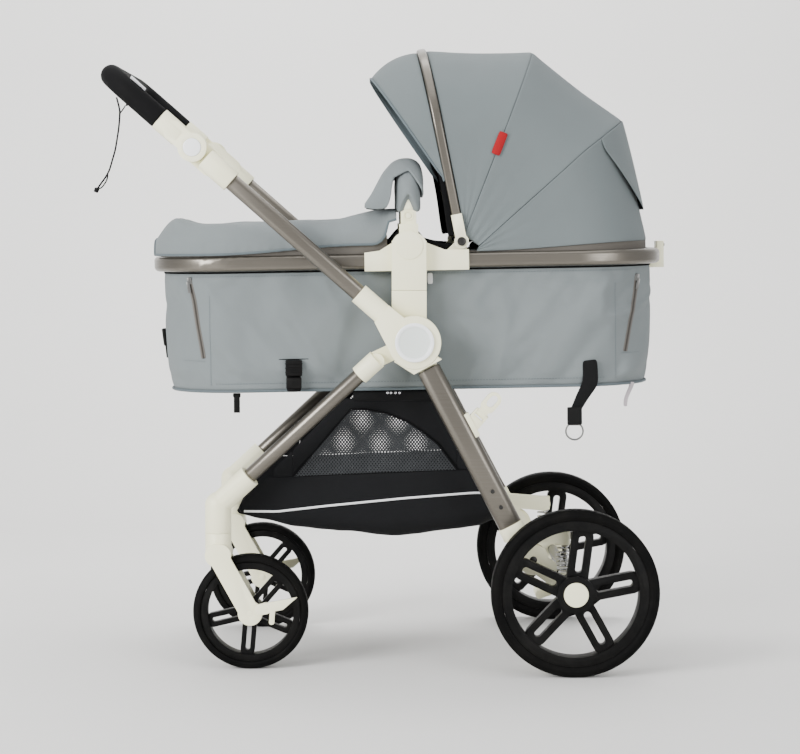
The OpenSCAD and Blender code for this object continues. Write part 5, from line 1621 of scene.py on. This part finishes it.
def make_basket():
    """A soft tub of black cloth below the piping, and black side panels with a net window above it."""
    half = 0.1725
    xs = [-0.258 + 0.440 * k / 44 for k in range(45)]
    rows = []
    for x in xs:
        rim, floor = rim_height(x), floor_height(x)
        depth = rim - floor
        turn = min(0.030, depth * 0.8)
        row = []
        line = [(-half, rim - (depth - turn) * k / 6) for k in range(6)]
        line += [(-half + turn * (1 - math.cos(a)), floor + turn * (1 - math.sin(a)))
                 for a in [math.pi / 2 * k / 6 for k in range(6)]]
        run = half - turn
        line += [(-run + 2 * run * k / 24, floor) for k in range(25)]
        line += [(-y, z) for y, z in reversed(line[:12])]
        for y, z in line:
            inside = smooth((rim - z) / 0.02)
            p = Vector((x, y, z))
            sag = (0.0060 * ripple((p.x + 0.8 * p.z, p.y, p.z), 0.075, 3.3) +
                   0.0030 * ripple((p.x - 0.6 * p.z, p.y, p.z), 0.032, 7.7))
            side = math.copysign(1, y) if abs(y) > half - 0.02 else 0
            p += Vector((0, side * (abs(sag) * 0.5) * inside, sag * inside * (0.4 if side else 1.0)))
            row.append(p)
        rows.append(row)
    tub = cloth("basket_tub", rows, inside=(0, 0, 0.4))
    finish(tub, "chassis", "black_fabric", black_cloth)
    thicken(tub, 0.0022, 1)
    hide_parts("basket")
    for name, x, lean in (("basket_front_wall", -0.2565, -0.004), ("basket_back_wall", 0.1805, 0.004)):
        rim, floor = rim_height(x), floor_height(x)
        wall_rows = [[Vector((x + lean * t, y, floor + 0.001 + (rim - floor) * t + 0.002 * ripple((x, y, t), 0.05)))
                      for y in [-0.170 + 0.340 * k / 30 for k in range(31)]] for t in (0, 0.5, 1)]
        wall = cloth(name, wall_rows)
        finish(wall, "chassis", "black_fabric", black_cloth)
        thicken(wall, 0.0020, 1, offset=0)
    for side, sign in SIDES.items():
        y = sign * 0.1735
        rim_path = [(x, y, rim_height(x) + 0.0006) for x in xs[1:-1]]
        make_piping(f"basket_piping_{side}", rim_path, 0.0020, 10, "chassis", "black_fabric", white_tape)
        make_basket_side(side, sign)


def make_basket_side(side, sign):
    """The side panel from the piping up to the hub, with a net window set into it."""
    top = [(-0.2560, 0.2760), (-0.0780, 0.4560), (0.0840, 0.4560), (0.1800, 0.2960)]
    window_top = [(-0.1650, 0.3240), (-0.1630, 0.3250), (-0.0665, 0.4380), (-0.0440, 0.4380), (-0.006, 0.4310),
                  (0.031, 0.4160), (0.057, 0.3980), (0.0815, 0.3780), (0.1130, 0.3360), (0.1140, 0.3350)]
    window_low = [(-0.1650, 0.3225), (0.1140, 0.3338)]

    def panel_point(x, z, puff=1.0):
        lean = smooth((z - 0.27) / 0.19)
        y = sign * (0.1720 - 0.0006 * lean + 0.0034 * ripple((x + 0.5 * z, 0, z), 0.05, 3.0 + sign) * puff)
        return Vector((x, y, z))

    def strip(name, low, high, x0, x1, count, layers=6):
        rows = []
        for k in range(count + 1):
            x = x0 + (x1 - x0) * k / count
            z0, z1 = low(x), max(high(x), low(x) + 0.0004)
            rows.append([panel_point(x, z0 + (z1 - z0) * t / layers) for t in range(layers + 1)])
        return cloth(name, rows, inside=(0, 0, 0.35)), area_of(rows)

    edge, low_edge, high_edge = (functools.partial(outline_at, knots) for knots in (top, window_low, window_top))
    parts = [strip("low", rim_height, lambda x: min(edge(x), low_edge(x)), -0.2545, 0.1790, 60),
             strip("front", low_edge, edge, -0.1975, -0.1650, 6),
             strip("high", high_edge, edge, -0.1650, 0.1140, 44),
             strip("back", low_edge, edge, 0.1140, 0.1560, 6)]
    panel = join(f"basket_panel_{side}", [part[0] for part in parts])
    finish(panel, "chassis", "black_fabric", black_cloth)
    thicken(panel, 0.0012, 1, offset=0)
    window, window_area = strip(f"basket_net_{side}", low_edge, high_edge, -0.1640, 0.1130, 44)
    finish(window, "chassis", "black_fabric", net)
    thicken(window, 0.0008, 1, offset=0)
    frame_line = [panel_point(x, z, 0) + Vector((0, sign * 0.0012, 0)) for x, z in window_top]
    make_piping(f"basket_net_binding_{side}", frame_line, 0.0019, 8, "chassis", "black_fabric", black_lining_and_shade)
    rows = [[Vector((-0.0630 + 0.134 * k / 20, sign * (0.1738 + 0.0004 * t), 0.4520 + 0.0165 * t))
             for t in (0, 0.33, 0.66, 1)] for k in range(21)]
    hanger = cloth(f"basket_hanger_{side}", rows, inside=(0, 0, 0.46))
    finish(hanger, "chassis", "black_fabric", webbing)
    thicken(hanger, 0.0014, 1, offset=0)
    snaps = []
    for x in (-0.0041, 0.0016, 0.0094, 0.0163):
        bpy.ops.mesh.primitive_cylinder_add(vertices=20, radius=0.0022, depth=0.0016,
                                            location=(x, sign * 0.1755, 0.4655), rotation=(math.pi / 2, 0, 0))
        snaps.append(round_edges(start_piece("snap"), 0.0005))
    snap_row = join(f"basket_snaps_{side}", snaps)
    finish(snap_row, "chassis", "steel_bright", steel)


make_basket()
set_light()
make_ground()
